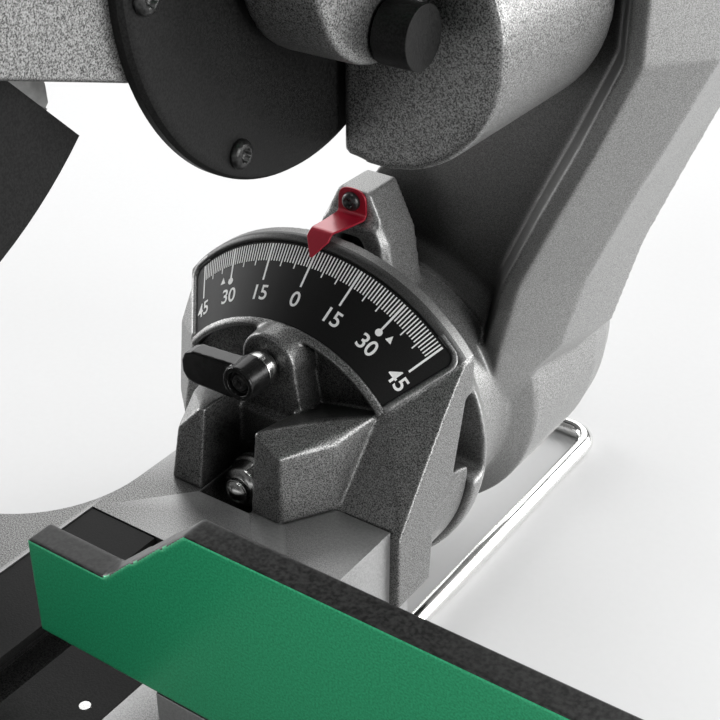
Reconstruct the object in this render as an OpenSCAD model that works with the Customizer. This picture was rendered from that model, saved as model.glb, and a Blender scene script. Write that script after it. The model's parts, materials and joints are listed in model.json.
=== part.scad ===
// Sliding mitre saw with a rear bevel pivot, in millimetres.
// Origin: centre of the four bench bolts in the plane of the feet, on the mitre axis.
// +Z up, -Y towards the operator, +X to the operator's right. Head raised and pushed back at rest.

/* [Table] */
// Height of the table top above the bench
table_z = 100; // [96:0.5:110]
// Radius of the turntable disc
turntable_r = 145; // [138:1:150]
// Thickness of the turntable plate
turntable_t = 12; // [8:0.5:16]
// Height of the base pan that the turntable runs on
pan_z = 66; // [60:0.5:68]
// Half width of the turntable's front arm
front_arm_w = 38; // [36:0.5:44]
// Length of the front arm from the mitre axis
front_arm_l = 335; // [325:1:360]
// Reach of the neck behind the turntable, to the left of the blade
neck_left = 35; // [32:0.5:40]
// Reach of the neck to the right of the blade
neck_right = 58; // [50:0.5:60]
// Half width of the blade slot under the inserts
slot_w = 18; // [17:0.5:20]
// Half width of the open kerf between the inserts
kerf_w = 7; // [6:0.5:9]

/* [Base] */
// Radius of the base pan
pan_r = 178; // [172:1:182]
// Half width over both table wings
base_w = 265; // [255:1:290]
// Rear edge of the base pan
pan_back = 62; // [50:1:80]
// Front edge of the wings
wing_front = 82; // [76:1:84]
// Rear edge of the wings
wing_back = 40; // [38:0.5:42]
// Wall of the castings
wall = 9; // [6:0.5:12]
// Half distance between the bench bolts, side to side
foot_x = 215; // [205:1:230]
// Half distance between the bench bolts, front to back
foot_y = 85; // [75:1:95]
// Radius of the bench bolt holes
bench_hole_r = 4.5; // [3.5:0.1:5.5]
// Thickness of the feet
foot_h = 16; // [12:1:20]
// Radius of the rear stand bar
bar_r = 4; // [3.5:0.1:4.5]
// Half distance between the stand bar's legs
bar_x = 34; // [28:0.5:40]
// Rear reach of the stand bar
bar_y = 340; // [320:1:360]

/* [Fence] */
// Depth of the fence plates
fence_t = 14; // [12:0.5:15]
// Top of the fixed fence above the table
fixed_fence_h = 21.5; // [18:0.5:24]
// Step of the sliding fence above the table
fence_step_h = 55; // [48:1:60]
// Top of the sliding fence above the table
fence_top_h = 83; // [76:1:84]
// Thickness of the sliding fence's plate
fence_plate_t = 9; // [7:0.5:11]
// Inner end of the sliding fence
fence_in = 14; // [13.5:0.5:22]
// Outer end of the fences
fence_out = 225; // [215:1:232]

/* [Bevel pivot] */
// Distance of the bevel scale from the fence face
pivot_y = 156; // [152:1:165]
// Radius of the scale's outer tick circle
scale_r = 75; // [70:0.5:78]
// Width of the scale label along its slope
label_w = 29.5; // [24:0.5:31]
// Half angle of the label
label_angle = 50; // [46:0.5:51]
// Height of the rim round the label
rim_h = 1.3; // [0.8:0.1:1.8]
// Half width of the pivot housing
housing_w = 61.8; // [60:0.2:64]
// Radius of the bevel arm's hub
hub_r = 64; // [60:0.5:66]
// Radius of the bevel pivot shaft
pivot_r = 12; // [10:0.5:14]
// Height of the stop lever above the table
stop_h = 43.5; // [42:0.5:46]

/* [Slide and head] */
// Radius of the slide rails
rail_r = 15; // [12:0.5:16]
// Distance of the rails from the blade plane
rail_x = 68; // [66:0.5:72]
// Height of the lower rail
rail_z = 332; // [328:1:340]
// Distance between the two rails
rail_gap = 56; // [50:1:60]
// Travel of the slide
slide_travel = 220; // [180:5:230]
// Place of the chop hinge behind the fence
hinge_y = 105; // [102:0.5:110]
// Height of the chop hinge
hinge_z = 301; // [298:0.5:305]
// Angle between the raised and the cutting pose
chop_angle = 50; // [48:0.5:52]
// Radius of the chop hinge pin
hinge_pin_r = 10; // [8:0.5:11]
// Radius of the black hinge cover
hinge_cover_r = 67.8; // [60:0.2:70]
// Radius of the saw blade
blade_r = 127.5; // [120:0.5:130]
// Thickness of the saw blade
blade_t = 2.4; // [1.8:0.1:3]
// Number of teeth on the blade
teeth = 48; // [24:1:60]
// Half width of the upper blade guard
guard_w = 16; // [15:0.5:16]
// Radius of the motor housing
motor_r = 46; // [40:0.5:48]
// Length of the motor housing
motor_l = 104; // [90:1:120]
// Radius of the dust spigot
spigot_r = 17.5; // [15:0.5:18]

/* [Clearances] */
// Gap between pieces that slide past each other
slide_gap = 0.4; // [0.3:0.05:0.5]
// Radial clearance of pins and shafts
fit = 0.05; // [0.02:0.01:0.09]

/* [Hidden] */
$fn = 64;
eps = 0.01;
cut = 2;

gunmetal = [0.33, 0.33, 0.32];
black = [0.06, 0.06, 0.06];
steel = [0.75, 0.75, 0.76];
green = [0.12, 0.55, 0.33];
red = [0.6, 0.09, 0.14];

// Table and base
turntable_z = pan_z + slide_gap;
insert_t = 3.4;
insert_z = table_z - insert_t - 0.4;
slot_z = table_z - 18;
slot_front = 306;
slot_back = 62;
insert_w = 36;
pan_bottom = 22;
apron_r = pan_r + 22;
apron_z = 64;
apron_angle = 62;
scale_plate_t = 1.2;
pivot_bolt_r = 8;
pivot_bolt_top = pan_z + 13;
neck_end = pivot_y - 39;
neck_fillet = 50;
neck_fillet_right = 20;
table_back = neck_end - 25 - neck_fillet;
foot_r = 24;
beam_w = 14;
beam_top = 34;
bar_z = bar_r + 0.2;
bar_bend = 12;
bar_in = pan_back + 60;
boss_w = 11;
tongue_back = bar_in + 28;
tongue_top = pan_bottom + 20;
leg_top = beam_top + 14;

// Fence
apron_t = 6;
fence_ledge = 11;
apron_bottom = table_z + 8.6;
fixed_in = 58;
fence_foot_in = 158;
fence_foot_y = 38;
fence_foot_h = 8;
fence_slant_in = 42;
upright_x = 192;
upright_w = 14;
upright_t = 10;
upright_top = 142;
knob_z = 128;
knob_r = 15;
stud_r = 4;
fence_bolt_x = [170, 214];
fence_bolt_y = 28;
fence_bolt_r = 3;

// Bevel pivot, in a frame on the bevel axis at the scale
housing_back = 8;
housing_bottom = turntable_z - table_z;
seat = 0.05;
housing_front = -39;
rim_r = scale_r + 3.4;
plate_w = housing_w - 0.5;
label_t = 0.8;
label_seat_gap = 0.15;
slope = [sqrt(0.5), sqrt(0.5)];
slope_out = [sqrt(0.5), -sqrt(0.5)];
label_top = [scale_r + 0.7, 0.7];
label_foot = label_top - label_w * slope;
cheek_angle = label_angle + 2;
recess_y = -18;
flank_x = 48;
ring_r = housing_w - 0.6;
block_front = -57;
block_slot = 11.5;
block_top = 31;
boss_r = 11.5;
boss_draft = 1.4;
boss_front = -30.5;
stop_pin_r = 4;
stop_hub_r = 6.4;
stop_hub_front = -47.2;
stop_hub_back = -37.4;
pivot_front = -36;
pivot_thread_r = 5;
pivot_thread_end = -51;
pivot_end = 172;
hub_front = housing_back + 0.6;
hub_back = 29;
pocket_floor = 53;
arm_back = 150;
bracket_front = 22.6;
bracket_foot_front = bracket_front - 3;
bracket_back = 41;
bracket_top = 90;
tab_r = 6.1;
sheet_t = 0.9;
pointer_screw_z = 86;
clamp_y = arm_back + 1;

// Slide
housing_y0 = 56;
housing_y1 = 144;
housing_half = 40;
bush_r = rail_r + 3.5;
bush_l = 22;
bracket_y0 = 122;
bracket_y1 = 192;
block_x0 = 36;
block_x1 = rail_x + rail_r + 9;
block_round = [49, 271];
block_round_r = 40;
rail_front = bracket_y0 + 12;
rail_back = pivot_y + housing_y1 + slide_travel + 10;
end_plate_t = 8;
ear_r = 30;
left_ear = [-46, -32];
right_ear = [block_x0, 62];
bridge_y0 = hinge_y + hinge_cover_r + 1.4;
bridge_z0 = 276;
bridge_z1 = 330;

// Head, in a frame on the chop hinge in the cutting pose
bc = [-142, -88];
mc = bc + [-10, 118];
hinge_hub_r = 24;
hinge_hub_x = [-18, 28];
case_x = [guard_w + 0.05, 28];
case_r = 44;
motor_boss_r = 40;
hinge_flange_r = 62;
cover_t = 4.95;
cover_screw_r = hinge_cover_r - 7.3;
cover_screw_turn = -7.7;
guard_r = 138;
guard_wall = 3.5;
guard_span = [20, 190];
lower_r = 131;
lower_w = 11.5;
lower_t = 2.5;
lower_span = [200, 365];
lower_hub_r = 25;
lower_rim = 2.2;
spindle_r = 8;
bearing_r = 13;
bearing_x = [15, 33];
pulley_x = [35.5, 42.5];
spindle_pulley_r = 24;
motor_pulley_r = 16;
belt_t = 2.5;
belt_cover_x = [case_x[1], 46];
belt_cover_r = 38;
flange_r = 24;
flange_t = 6.5;
motor_x0 = belt_cover_x[1];
motor_x1 = motor_x0 + motor_l;
motor_cover_t = 12;
rotor_r = 6;
spigot_x = guard_w - 2.5 - spigot_r;

// Shapes along the three axes
module xcyl(r, x, c = [0, 0]) {
    translate([x[0], c[0], c[1]]) rotate([0, 90, 0]) cylinder(r = r, h = x[1] - x[0]);
}

module ycyl(r, y, x = 0, z = 0) {
    translate([x, y[0], z]) rotate([-90, 0, 0]) cylinder(r = r, h = y[1] - y[0]);
}

module zcyl(r, z, x = 0, y = 0) {
    translate([x, y, z[0]]) cylinder(r = r, h = z[1] - z[0]);
}

module block(x, y, z) {
    translate([x[0], y[0], z[0]]) cube([x[1] - x[0], y[1] - y[0], z[1] - z[0]]);
}

// An outline of (y, z) points, extruded along X
module xext(x) {
    translate([x[0], 0, 0]) rotate([90, 0, 90]) linear_extrude(x[1] - x[0]) children();
}

// An outline of (x, z) points, extruded along Y
module yext(y) {
    translate([0, y[1], 0]) rotate([90, 0, 0]) linear_extrude(y[1] - y[0]) children();
}

// A profile of (r, y) points, turned about Y over a half angle each side of straight up
module yturn(half = 180) {
    rotate([-90, 0, 0]) rotate([0, 0, -90 - half]) rotate_extrude(angle = 2 * half) children();
}

// A profile of (r, x) points, turned about X from the rear (0) by way of the top (90)
module xturn(span, c = [0, 0]) {
    translate([0, c[0], c[1]]) rotate([90, 0, 90]) rotate([0, 0, span[0]])
        rotate_extrude(angle = span[1] - span[0]) children();
}

module both_sides() {
    children();
    mirror([1, 0, 0]) children();
}

module pivot_frame() {
    translate([0, pivot_y, table_z]) children();
}

module head_frame() {
    translate([0, hinge_y, hinge_z]) rotate([-chop_angle, 0, 0]) children();
}

// A solid through rings of (x, z) points at several depths y
module loft(rings, depths) {
    n = len(rings[0]);
    m = len(rings);
    points = [for (k = [0:m - 1]) for (p = rings[k]) [p[0], depths[k], p[1]]];
    sides = [for (k = [0:m - 2]) for (i = [0:n - 1])
        [k * n + i, k * n + (i + 1) % n, (k + 1) * n + (i + 1) % n, (k + 1) * n + i]];
    triangles = [for (s = sides) for (t = [[s[0], s[1], s[2]], [s[0], s[2], s[3]]]) t];
    polyhedron(points, concat([[for (i = [n - 1:-1:0]) i]],
        triangles, [[for (i = [0:n - 1]) (m - 1) * n + i]]));
}

// An outline round two circles and the straight sides between them, in (y, z)
module strap(a, ra, b, rb) {
    d = b - a;
    u = d / norm(d);
    s = (ra - rb) / norm(d);
    c = sqrt(1 - s * s);
    left = [u[0] * s - u[1] * c, u[1] * s + u[0] * c];
    right = [u[0] * s + u[1] * c, u[1] * s - u[0] * c];
    translate(a) circle(ra);
    translate(b) circle(rb);
    polygon([a + ra * right, b + rb * right, b + rb * left, a + ra * left]);
}

// Base
module bench_feet() {
    for (x = [-foot_x, foot_x]) {
        for (y = [-foot_y, foot_y]) zcyl(foot_r, [0, foot_h], x, y);
        block([x - beam_w, x + beam_w], [wing_back - 2 * wall, foot_y], [4, leg_top]);
        block([x - beam_w, x + beam_w], [-foot_y, 2 * wall - wing_front], [4, leg_top]);
    }
}

// The pan's disc, cut straight at the rear
module pan_disc(r, back, z) {
    intersection() {
        zcyl(r, z);
        block([-r - cut, r + cut], [-r - cut, back], [z[0] - cut, z[1] + cut]);
    }
}

module pan() {
    difference() {
        pan_disc(pan_r, pan_back, [pan_bottom, pan_z]);
        difference() {
            pan_disc(pan_r - wall, pan_back - wall, [pan_bottom - cut, pan_z - wall]);
            zcyl(pivot_bolt_r + 20, [pan_bottom, pan_z]);
            for (a = [0, 60, 120])
                rotate([0, 0, a]) block([-pan_r, pan_r], [-wall / 2, wall / 2], [pan_bottom, pan_z]);
        }
    }
    tongue_w = bar_x + boss_w;
    block([-tongue_w, tongue_w], [pan_back - wall, tongue_back], [0.6, tongue_top]);
    rotate([0, 0, -90 - apron_angle]) rotate_extrude(angle = 2 * apron_angle)
        polygon([[pan_r - wall / 2, apron_z - 20], [apron_r, apron_z - 20],
            [apron_r, apron_z], [pan_r - wall / 2, apron_z]]);
}

module wing() {
    difference() {
        block([pan_r - 70, base_w], [-wing_front, wing_back], [beam_top + 6, table_z]);
        block([turntable_r + 1 + wall, base_w - wall], [wall - wing_front, wing_back - wall],
            [beam_top, table_z - wall]);
        zcyl(turntable_r + 1, [pan_z - 1, table_z + cut]);
        rotate([0, 0, 45]) block([-front_arm_w - 1, front_arm_w + 1], [-apron_r, 0],
            [pan_z - 1, table_z + cut]);
    }
}

module base_frame() {
    color(gunmetal) difference() {
        union() {
            pan();
            bench_feet();
            both_sides() wing();
        }
        zcyl(pivot_bolt_r, [pan_bottom - cut, pan_z + cut]);
        for (x = [-foot_x, foot_x], y = [-foot_y, foot_y]) {
            zcyl(bench_hole_r, [-cut, foot_h + 1], x, y);
            zcyl(foot_r / 2, [foot_h, leg_top + cut], x, y);
        }
        both_sides() {
            ycyl(bar_r + fit, [bar_in, tongue_back + cut], bar_x, bar_z);
            for (x = fence_bolt_x)
                zcyl(fence_bolt_r + fit, [table_z - wall - cut, table_z + cut], x, fence_bolt_y);
        }
    }
}

module mitre_scale_plate() {
    color(steel) rotate([0, 0, -90 - apron_angle + 12]) rotate_extrude(angle = 2 * apron_angle - 24)
        translate([pan_r + 1, apron_z]) square([apron_r - pan_r - 3, scale_plate_t]);
}

module rear_stand_bar() {
    color(steel) translate([0, 0, bar_z]) {
        both_sides() {
            ycyl(bar_r, [bar_in + 1, bar_y - bar_bend], bar_x);
            translate([bar_x - bar_bend, bar_y - bar_bend, 0])
                rotate_extrude(angle = 90) translate([bar_bend, 0]) circle(bar_r);
        }
        translate([bar_bend - bar_x, bar_y, 0]) rotate([0, 90, 0])
            cylinder(r = bar_r, h = 2 * (bar_x - bar_bend));
    }
}

module turntable_pivot_bolt() {
    color(steel) {
        zcyl(pivot_bolt_r, [pan_bottom, pivot_bolt_top]);
        zcyl(pivot_bolt_r + 6, [pan_bottom - 7, pan_bottom]);
    }
}

// Fence
module fixed_fence() {
    difference() {
        union() {
            block([fixed_in, fence_out], [0, fence_t], [table_z + 0.5, table_z + fixed_fence_h]);
            block([fence_foot_in, fence_out], [0, fence_foot_y], [table_z, table_z + fence_foot_h]);
            block([upright_x - upright_w, upright_x + upright_w],
                [fence_t + apron_t + 2 * slide_gap, fence_t + apron_t + 2 * slide_gap + upright_t],
                [table_z, upright_top]);
        }
        for (x = fence_bolt_x)
            zcyl(fence_bolt_r + fit, [table_z - cut, table_z + fence_foot_h + cut], x, fence_bolt_y);
        ycyl(stud_r + fit, [fence_t, fence_foot_y + cut], upright_x, knob_z);
    }
}

module fence_right() {
    color(gunmetal) fixed_fence();
}

module fence_left() {
    color(gunmetal) mirror([1, 0, 0]) fixed_fence();
}

module fence_bolts() {
    color(steel) both_sides() for (x = fence_bolt_x) {
        zcyl(fence_bolt_r, [table_z - wall, table_z + fence_foot_h], x, fence_bolt_y);
        difference() {
            zcyl(fence_bolt_r + 2.5, [table_z + fence_foot_h, table_z + fence_foot_h + 6],
                x, fence_bolt_y);
            translate([x, fence_bolt_y, table_z + fence_foot_h + 3]) cylinder(r = 2.9, h = 6, $fn = 6);
        }
    }
}

module sliding_fence() {
    low = table_z + fixed_fence_h + slide_gap;
    step = table_z + fence_step_h;
    top = table_z + fence_top_h;
    slant = fence_slant_in + (fence_top_h - fence_step_h) * 1.1;
    yext([0, fence_plate_t]) polygon([[fence_in, low], [fence_out, low], [fence_out, top],
        [slant, top], [fence_slant_in, step], [fence_in, step]]);
    block([fixed_in + slide_gap, fence_out], [fence_plate_t - eps, fence_t + apron_t],
        [low, low + fence_ledge]);
    block([fixed_in + slide_gap, fence_out],
        [fence_t + slide_gap, fence_t + apron_t], [apron_bottom, low + eps]);
}

module upper_fence_right() {
    color(green) sliding_fence();
}

module upper_fence_left() {
    color(green) mirror([1, 0, 0]) sliding_fence();
}

module fence_knob() {
    back = fence_t + apron_t + 2 * slide_gap + upright_t;
    translate([upright_x, 0, knob_z]) {
        ycyl(stud_r, [fence_t + apron_t + slide_gap, back + 4]);
        difference() {
            ycyl(knob_r, [back + 0.5, back + 19]);
            for (a = [0:45:315])
                rotate([0, a, 0]) ycyl(3, [back, back + 20], knob_r + 1);
        }
    }
}

module fence_knob_right() {
    color(black) fence_knob();
}

module fence_knob_left() {
    color(black) mirror([1, 0, 0]) fence_knob();
}

// Turntable
module neck_plan() {
    y = neck_end - 25;
    difference() {
        translate([-neck_left - neck_fillet, 30])
            square([neck_left + neck_right + neck_fillet + neck_fillet_right, neck_end - 30]);
        translate([-neck_left - neck_fillet, y]) circle(neck_fillet);
        translate([-neck_left - neck_fillet, y]) square([neck_fillet, neck_fillet]);
        translate([neck_right + neck_fillet_right, table_back + neck_fillet_right])
            circle(neck_fillet_right);
        translate([neck_right, table_back + neck_fillet_right]) square(2 * neck_fillet);
    }
}

module detent_lugs() {
    both_sides() difference() {
        block([15, 21], [15 - front_arm_l, 29 - front_arm_l], [pan_z - 14, turntable_z + 2]);
        xcyl(3, [0, front_arm_w], [22 - front_arm_l, pan_z - 8]);
    }
}

module turntable() {
    color(gunmetal) difference() {
        union() {
            difference() {
                zcyl(turntable_r, [turntable_z, table_z]);
                block([-turntable_r, turntable_r], [table_back, 2 * turntable_r],
                    [turntable_z - cut, table_z + cut]);
                difference() {
                    zcyl(turntable_r - wall, [turntable_z - cut, table_z - turntable_t]);
                    block([-slot_w - wall, slot_w + wall], [-turntable_r, turntable_r],
                        [pan_z, table_z]);
                    block([-turntable_r, turntable_r], [table_back - wall, 2 * turntable_r],
                        [pan_z, table_z]);
                    zcyl(pivot_bolt_r + 24, [pan_z, table_z]);
                }
            }
            block([-front_arm_w, front_arm_w], [-front_arm_l, 0], [turntable_z, table_z]);
            translate([0, 0, turntable_z]) linear_extrude(table_z - turntable_z) neck_plan();
            detent_lugs();
        }
        block([-slot_w, slot_w], [-slot_front, slot_back], [slot_z, table_z + cut]);
        block([-insert_w - 0.5, insert_w + 0.5], [-slot_front - 8, slot_back + 8],
            [insert_z, table_z + cut]);
        zcyl(pivot_bolt_r + fit, [pan_z - cut, pivot_bolt_top + 1]);
        pivot_frame() ycyl(block_slot, [block_front - 1, housing_front + 1]);
        ycyl(6 + fit, [-front_arm_l - cut, -front_arm_l + 50], 0, pan_z + 8);
        for (y = [-slot_front + 20, -150, 0], x = [-28, 28])
            zcyl(2 + fit, [insert_z - 8, table_z], x, y);
    }
}

module kerf_inserts() {
    color(black) both_sides() difference() {
        block([kerf_w, insert_w], [-slot_front - 7.5, slot_back + 7.5],
            [insert_z, insert_z + insert_t]);
        for (y = [-slot_front + 20, -150, 0])
            zcyl(2 + fit, [insert_z - 1, table_z], 28, y);
    }
}

module insert_screws() {
    color(steel) both_sides() for (y = [-slot_front + 20, -150, 0])
        zcyl(2, [insert_z - 7, insert_z + insert_t - 0.2], 28, y);
}

module mitre_pointer() {
    color(red) translate([0, 0, turntable_z + 0.6]) linear_extrude(1.4)
        polygon([[front_arm_w, -172], [front_arm_w, -188], [front_arm_w + 20, -181]]);
}

module mitre_lock_handle() {
    color(black) translate([0, -front_arm_l, pan_z + 8]) {
        ycyl(6, [-30, 48]);
        yturn() polygon([[0, -29], [9, -29], [13, -33], [13, -36], [20, -44], [23, -58],
            [22, -80], [18, -92], [10, -97], [0, -98]]);
    }
}

module mitre_detent_lever() {
    color(black) translate([0, 22 - front_arm_l, pan_z - 8]) difference() {
        union() {
            xcyl(6, [-14, 14]);
            block([-14, 14], [-38, 0], [-4, 0]);
            block([-14, 14], [-44, -30], [-7, -1]);
            block([-8, 8], [0, front_arm_l - 22 - apron_r - 3], [-4, 2]);
        }
        xcyl(3 + fit, [-20, 20]);
    }
}

module detent_pivot_pin() {
    color(steel) xcyl(3 - fit / 2, [-21, 21], [22 - front_arm_l, pan_z - 8]);
}

// Bevel housing
module housing_outline() {
    intersection() {
        circle(rim_r);
        translate([-plate_w, 0]) square([2 * plate_w, rim_r]);
    }
    translate([-plate_w, housing_bottom]) square([2 * plate_w, 10 - housing_bottom]);
}

function polar(r, a) = [r * sin(a), r * cos(a)];

// A cheek from the end of the label to the flank, whose front edge is a list of [y, z]
module cheek(edge, top, more = []) {
    foot = polar(label_foot[0] + 0.3, cheek_angle + 0.4);
    low = housing_bottom + 0.3;
    back = housing_back - 0.5;
    flank = [for (p = edge) [housing_w, p[0], p[1]]];
    hull() polyhedron_points(concat(flank, more, [
        [foot[0], label_foot[1], foot[1]], [22, recess_y, block_top - 6], [20, -16, low],
        [housing_w, back, top], [foot[0], back, foot[1]], [housing_w, back, low]]));
}

// The foot of a cheek, on the neck behind the front blocks
module cheek_foot(reach) {
    low = housing_bottom + 0.5;
    front = housing_front + 4 * seat;
    hull() polyhedron_points([[reach, front, low], [20, front, low], [20, front, 0.2],
        [min(reach, 38.5), front + 1.5, 0.2], [reach, -8, low], [20, -8, low],
        [reach, -8, -1], [20, -8, 0.2]]);
}

// A block beside the slot, its ridge running back and outwards
module front_block(ridge) {
    hull() polyhedron_points(concat(ridge, [
        [block_slot, block_front, seat], [24.6, block_front, seat], [36.5, -38, seat],
        [block_slot, recess_y + 4, seat], [38, recess_y + 4, seat],
        [block_slot, -33, block_top - 6], [block_slot, recess_y + 4, block_top - 7]]));
}

// The open corner between the housing's flank and the arm's hub, and the window above it
module flank_cut() {
    deep = housing_bottom - 1;
    behind = housing_back + 1;
    xext([flank_x, housing_w + 1]) polygon([[behind, 4], [-4.6, 4], [-5.4, 2.2], [-16, -5.3],
        [-17.8, deep], [behind, deep]]);
}

module flank_window() {
    behind = housing_back + 1;
    xext([flank_x + 0.6, housing_w + 9]) polygon([[behind, 36], [3, 33], [-3.6, 5.5], [behind, 1]]);
}

// Fixed part of the ring below the window, in line with the arm's hub
module lower_ring() {
    yext([-20, housing_back - 0.3]) intersection() {
        difference() {
            circle(ring_r);
            circle(hub_r - 20);
        }
        translate([40, housing_bottom + 1]) square([40, 7.6 - housing_bottom]);
    }
}

// Small cubes that a hull is drawn round
module polyhedron_points(points) {
    for (p = points) translate(p) cube(eps, center = true);
}

module bevel_housing() {
    color(gunmetal) pivot_frame() difference() {
        union() {
            housing_body();
            lower_ring();
            stop_boss();
        }
        both_sides() flank_window();
        yturn(label_angle + 0.4) polygon([label_foot - label_t * slope_out - label_seat_gap * slope,
            label_top - label_t * slope_out + label_seat_gap * slope,
            label_top + 4 * slope_out + label_seat_gap * slope,
            label_foot + 4 * slope_out - label_seat_gap * slope]);
        ycyl(pivot_r, [-34, housing_back + cut]);
        ycyl(pivot_thread_r + fit, [housing_front - cut, 0]);
        ycyl(stop_pin_r + fit, [boss_front - cut, housing_back + cut], 0, stop_h);
    }
}

module stop_boss() {
    translate([0, recess_y + 3, stop_h]) rotate([90, 0, 0])
        cylinder(r1 = boss_r + boss_draft, r2 = boss_r, h = recess_y + 3 - boss_front);
    yext([boss_front, recess_y + 3]) polygon([[-boss_r + 0.1, stop_h], [boss_r - 0.1, stop_h],
        [15, block_top - 9], [-15, block_top - 9]]);
}

module housing_body() {
    difference() {
        union() {
            yext([2, housing_back]) housing_outline();
            yext([recess_y, housing_back]) intersection() {
                circle(label_foot[0] - 1);
                translate([-42, 8]) square([84, rim_r]);
            }
            intersection() {
                yext([label_foot[1] - 3, housing_back]) difference() {
                    housing_outline();
                    circle(label_foot[0] - 2.5);
                }
                yturn(cheek_angle) square([2 * rim_r, housing_back], center = false);
            }
            intersection() {
                yext([label_foot[1] - 3, eps]) difference() {
                    housing_outline();
                    circle(label_foot[0] - 2.5);
                }
                yturn(cheek_angle) translate([0, label_foot[1] - 4]) square([2 * rim_r, 40]);
            }
            cheek([[0.8, 48], [-10.9, 34.4], [-27, 13.5], [housing_front + seat, -3],
                [housing_front + seat, housing_bottom + 0.3]], 47.5,
                [[20, housing_front + seat, housing_bottom + 0.3], [20, housing_front + seat, 0.2],
                [38.5, -37, 0.5]]);
            front_block([[block_slot, block_front + 4, block_top + 0.5],
                [24, block_front + 0.8, block_top - 4.2], [35, -38.6, block_top - 4],
                [25.5, -33.5, block_top + 0.8], [41, -21, block_top + 1.5]]);
            mirror([1, 0, 0]) {
                cheek([[1.3, 41.7], [-6.3, 29.3], [-8, 12], [-10.8, -7.9],
                    [-14, housing_bottom + 0.3]], 41.7);
                cheek_foot(36);
                front_block([[block_slot, block_front + 5, block_top + 0.5],
                    [13.3, block_front + 4.4, block_top + 0.4], [22.4, block_front + 2.6, block_top - 9.7],
                    [27.5, -39, block_top - 4], [block_slot, -40, block_top + 0.5],
                    [30, -24, block_top - 2]]);
            }
            block([-23, 23], [housing_front + 0.4, -14], [housing_bottom, -pivot_r - 4]);
            block([-25, 25], [-33, recess_y + 1], [-pivot_r - 5, block_top - 7.5]);
        }
        both_sides() flank_cut();
        yturn(cheek_angle + 0.8) polygon([label_foot + rim_h * slope_out - 5 * slope,
            label_top + rim_h * slope_out + 20 * slope, [120, -40], [label_foot[0], -80]]);
        block([-housing_w - 1, housing_w + 1], [-4, housing_back + cut], [housing_bottom - 1, -12.6]);
    }
}

module bevel_scale() {
    color(black) pivot_frame() yturn(label_angle) polygon([label_foot - label_t * slope_out,
        label_top - label_t * slope_out, label_top, label_foot]);
}

module bevel_pivot_shaft() {
    color(steel) pivot_frame() {
        ycyl(pivot_r, [-34, arm_back + 1]);
        ycyl(pivot_thread_r, [pivot_thread_end, -34 + eps]);
        ycyl(8, [arm_back, pivot_end]);
    }
}

module bevel_pivot_nut() {
    color(steel) pivot_frame() difference() {
        union() {
            ycyl(9.8, [-42, housing_front]);
            translate([0, -42, 0]) rotate([90, 0, 0]) cylinder(r = 8, h = 6.5, $fn = 6);
        }
        ycyl(pivot_thread_r + fit, [-60, 0]);
    }
}

module stop_pin() {
    color(steel) pivot_frame() {
        ycyl(stop_pin_r, [stop_hub_back - 4, hub_front - 3], 0, stop_h);
        ycyl(6.4, [stop_hub_back + 0.3, boss_front - 2.6], 0, stop_h);
        ycyl(5.2, [boss_front - 2.7, boss_front - 0.4], 0, stop_h);
    }
}

module stop_lever() {
    color(black) pivot_frame() translate([0, 0, stop_h]) difference() {
        union() {
            translate([0, stop_hub_back, 0]) rotate([90, 0, 0])
                cylinder(r1 = stop_hub_r + 0.8, r2 = stop_hub_r, h = stop_hub_back - stop_hub_front);
            yext([stop_hub_front + 2.2, stop_hub_front + 9])
                polygon([[0, 6.2], [-22, 4.6], [-25.4, 3], [-27, -0.4], [-26.8, -5.2],
                    [-25, -7.8], [-21.8, -8.7], [-5, -8.5], [0, -6.2]]);
        }
        ycyl(4.5, [stop_hub_front - cut, stop_hub_front + 2.2]);
        ycyl(stop_pin_r + 0.02, [stop_hub_back - 4.1, stop_hub_back + cut]);
        ycyl(1.5, [stop_hub_front, stop_hub_back]);
    }
}

module stop_lever_screw() {
    color(black) pivot_frame() translate([0, 0, stop_h]) difference() {
        union() {
            ycyl(3, [stop_hub_front + 0.6, stop_hub_front + 2.2]);
            ycyl(1.48, [stop_hub_front + 2.1, stop_hub_back - 4.2]);
        }
        translate([0, stop_hub_front + 0.5, 0]) rotate([-90, 0, 0]) cylinder(r = 1.4, h = 1, $fn = 6);
    }
}

// Bevel arm
front_edge = [[50, 2], [54, 32], [60, 60], [73, 91], [85, 118], [98, 150], [98, 212]];
side_edge = [[46, -6], [69, 29], [77, 60], [92, 97], [102, 119], [115, 150], [115, 212]];
rear_edge = [[38, -8], [71, 22], [81, 61], [93, 93], [103, 119], [115, 150], [115, 212]];
left_edge = [[32, 212], [27, 160], [16, 128], [-2, 96], [-24, 66], [-38, 36], [-46, 2]];

// The dark recess in the arm's front, open to the left
module arm_pocket() {
    inset = 0.8;
    deep = 13;
    top = left_edge[0][1] + 5;
    front = [for (i = [1:6]) [front_edge[i][0] - inset, i == 6 ? top : front_edge[i][1]]];
    open = [[-2 * hub_r, top], [-2 * hub_r, front_edge[1][1]]];
    loft([concat(front, open), concat([for (p = front) p - [deep, 0]], open)], [bracket_back - 12, pocket_floor]);
}

// The arch that carries the pointer, with a step under the pointer's shelf
module pointer_bracket() {
    difference() {
        union() {
            yext([bracket_front, bracket_back]) polygon([[-19, hub_r - 14], [19, hub_r - 14],
                [15.5, 72], [6.6, bracket_top], [-6.6, bracket_top], [-15.5, 72]]);
            yext([bracket_foot_front, bracket_front + eps]) polygon([[-16.5, hub_r - 14],
                [16.5, hub_r - 14], [14, 72], [11.4, 78.5], [-11.4, 78.5], [-14, 72]]);
        }
        yext([bracket_foot_front - 1, bracket_front + 9]) polygon([[-6.8, hub_r - 8], [6.8, hub_r - 8],
            [6.4, 69.4], [4.2, 72.8], [-4.2, 72.8], [-6.4, 69.4]]);
        ycyl(1.5 + fit, [bracket_front - 1, bracket_front + 8], 0, pointer_screw_z);
    }
}

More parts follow.
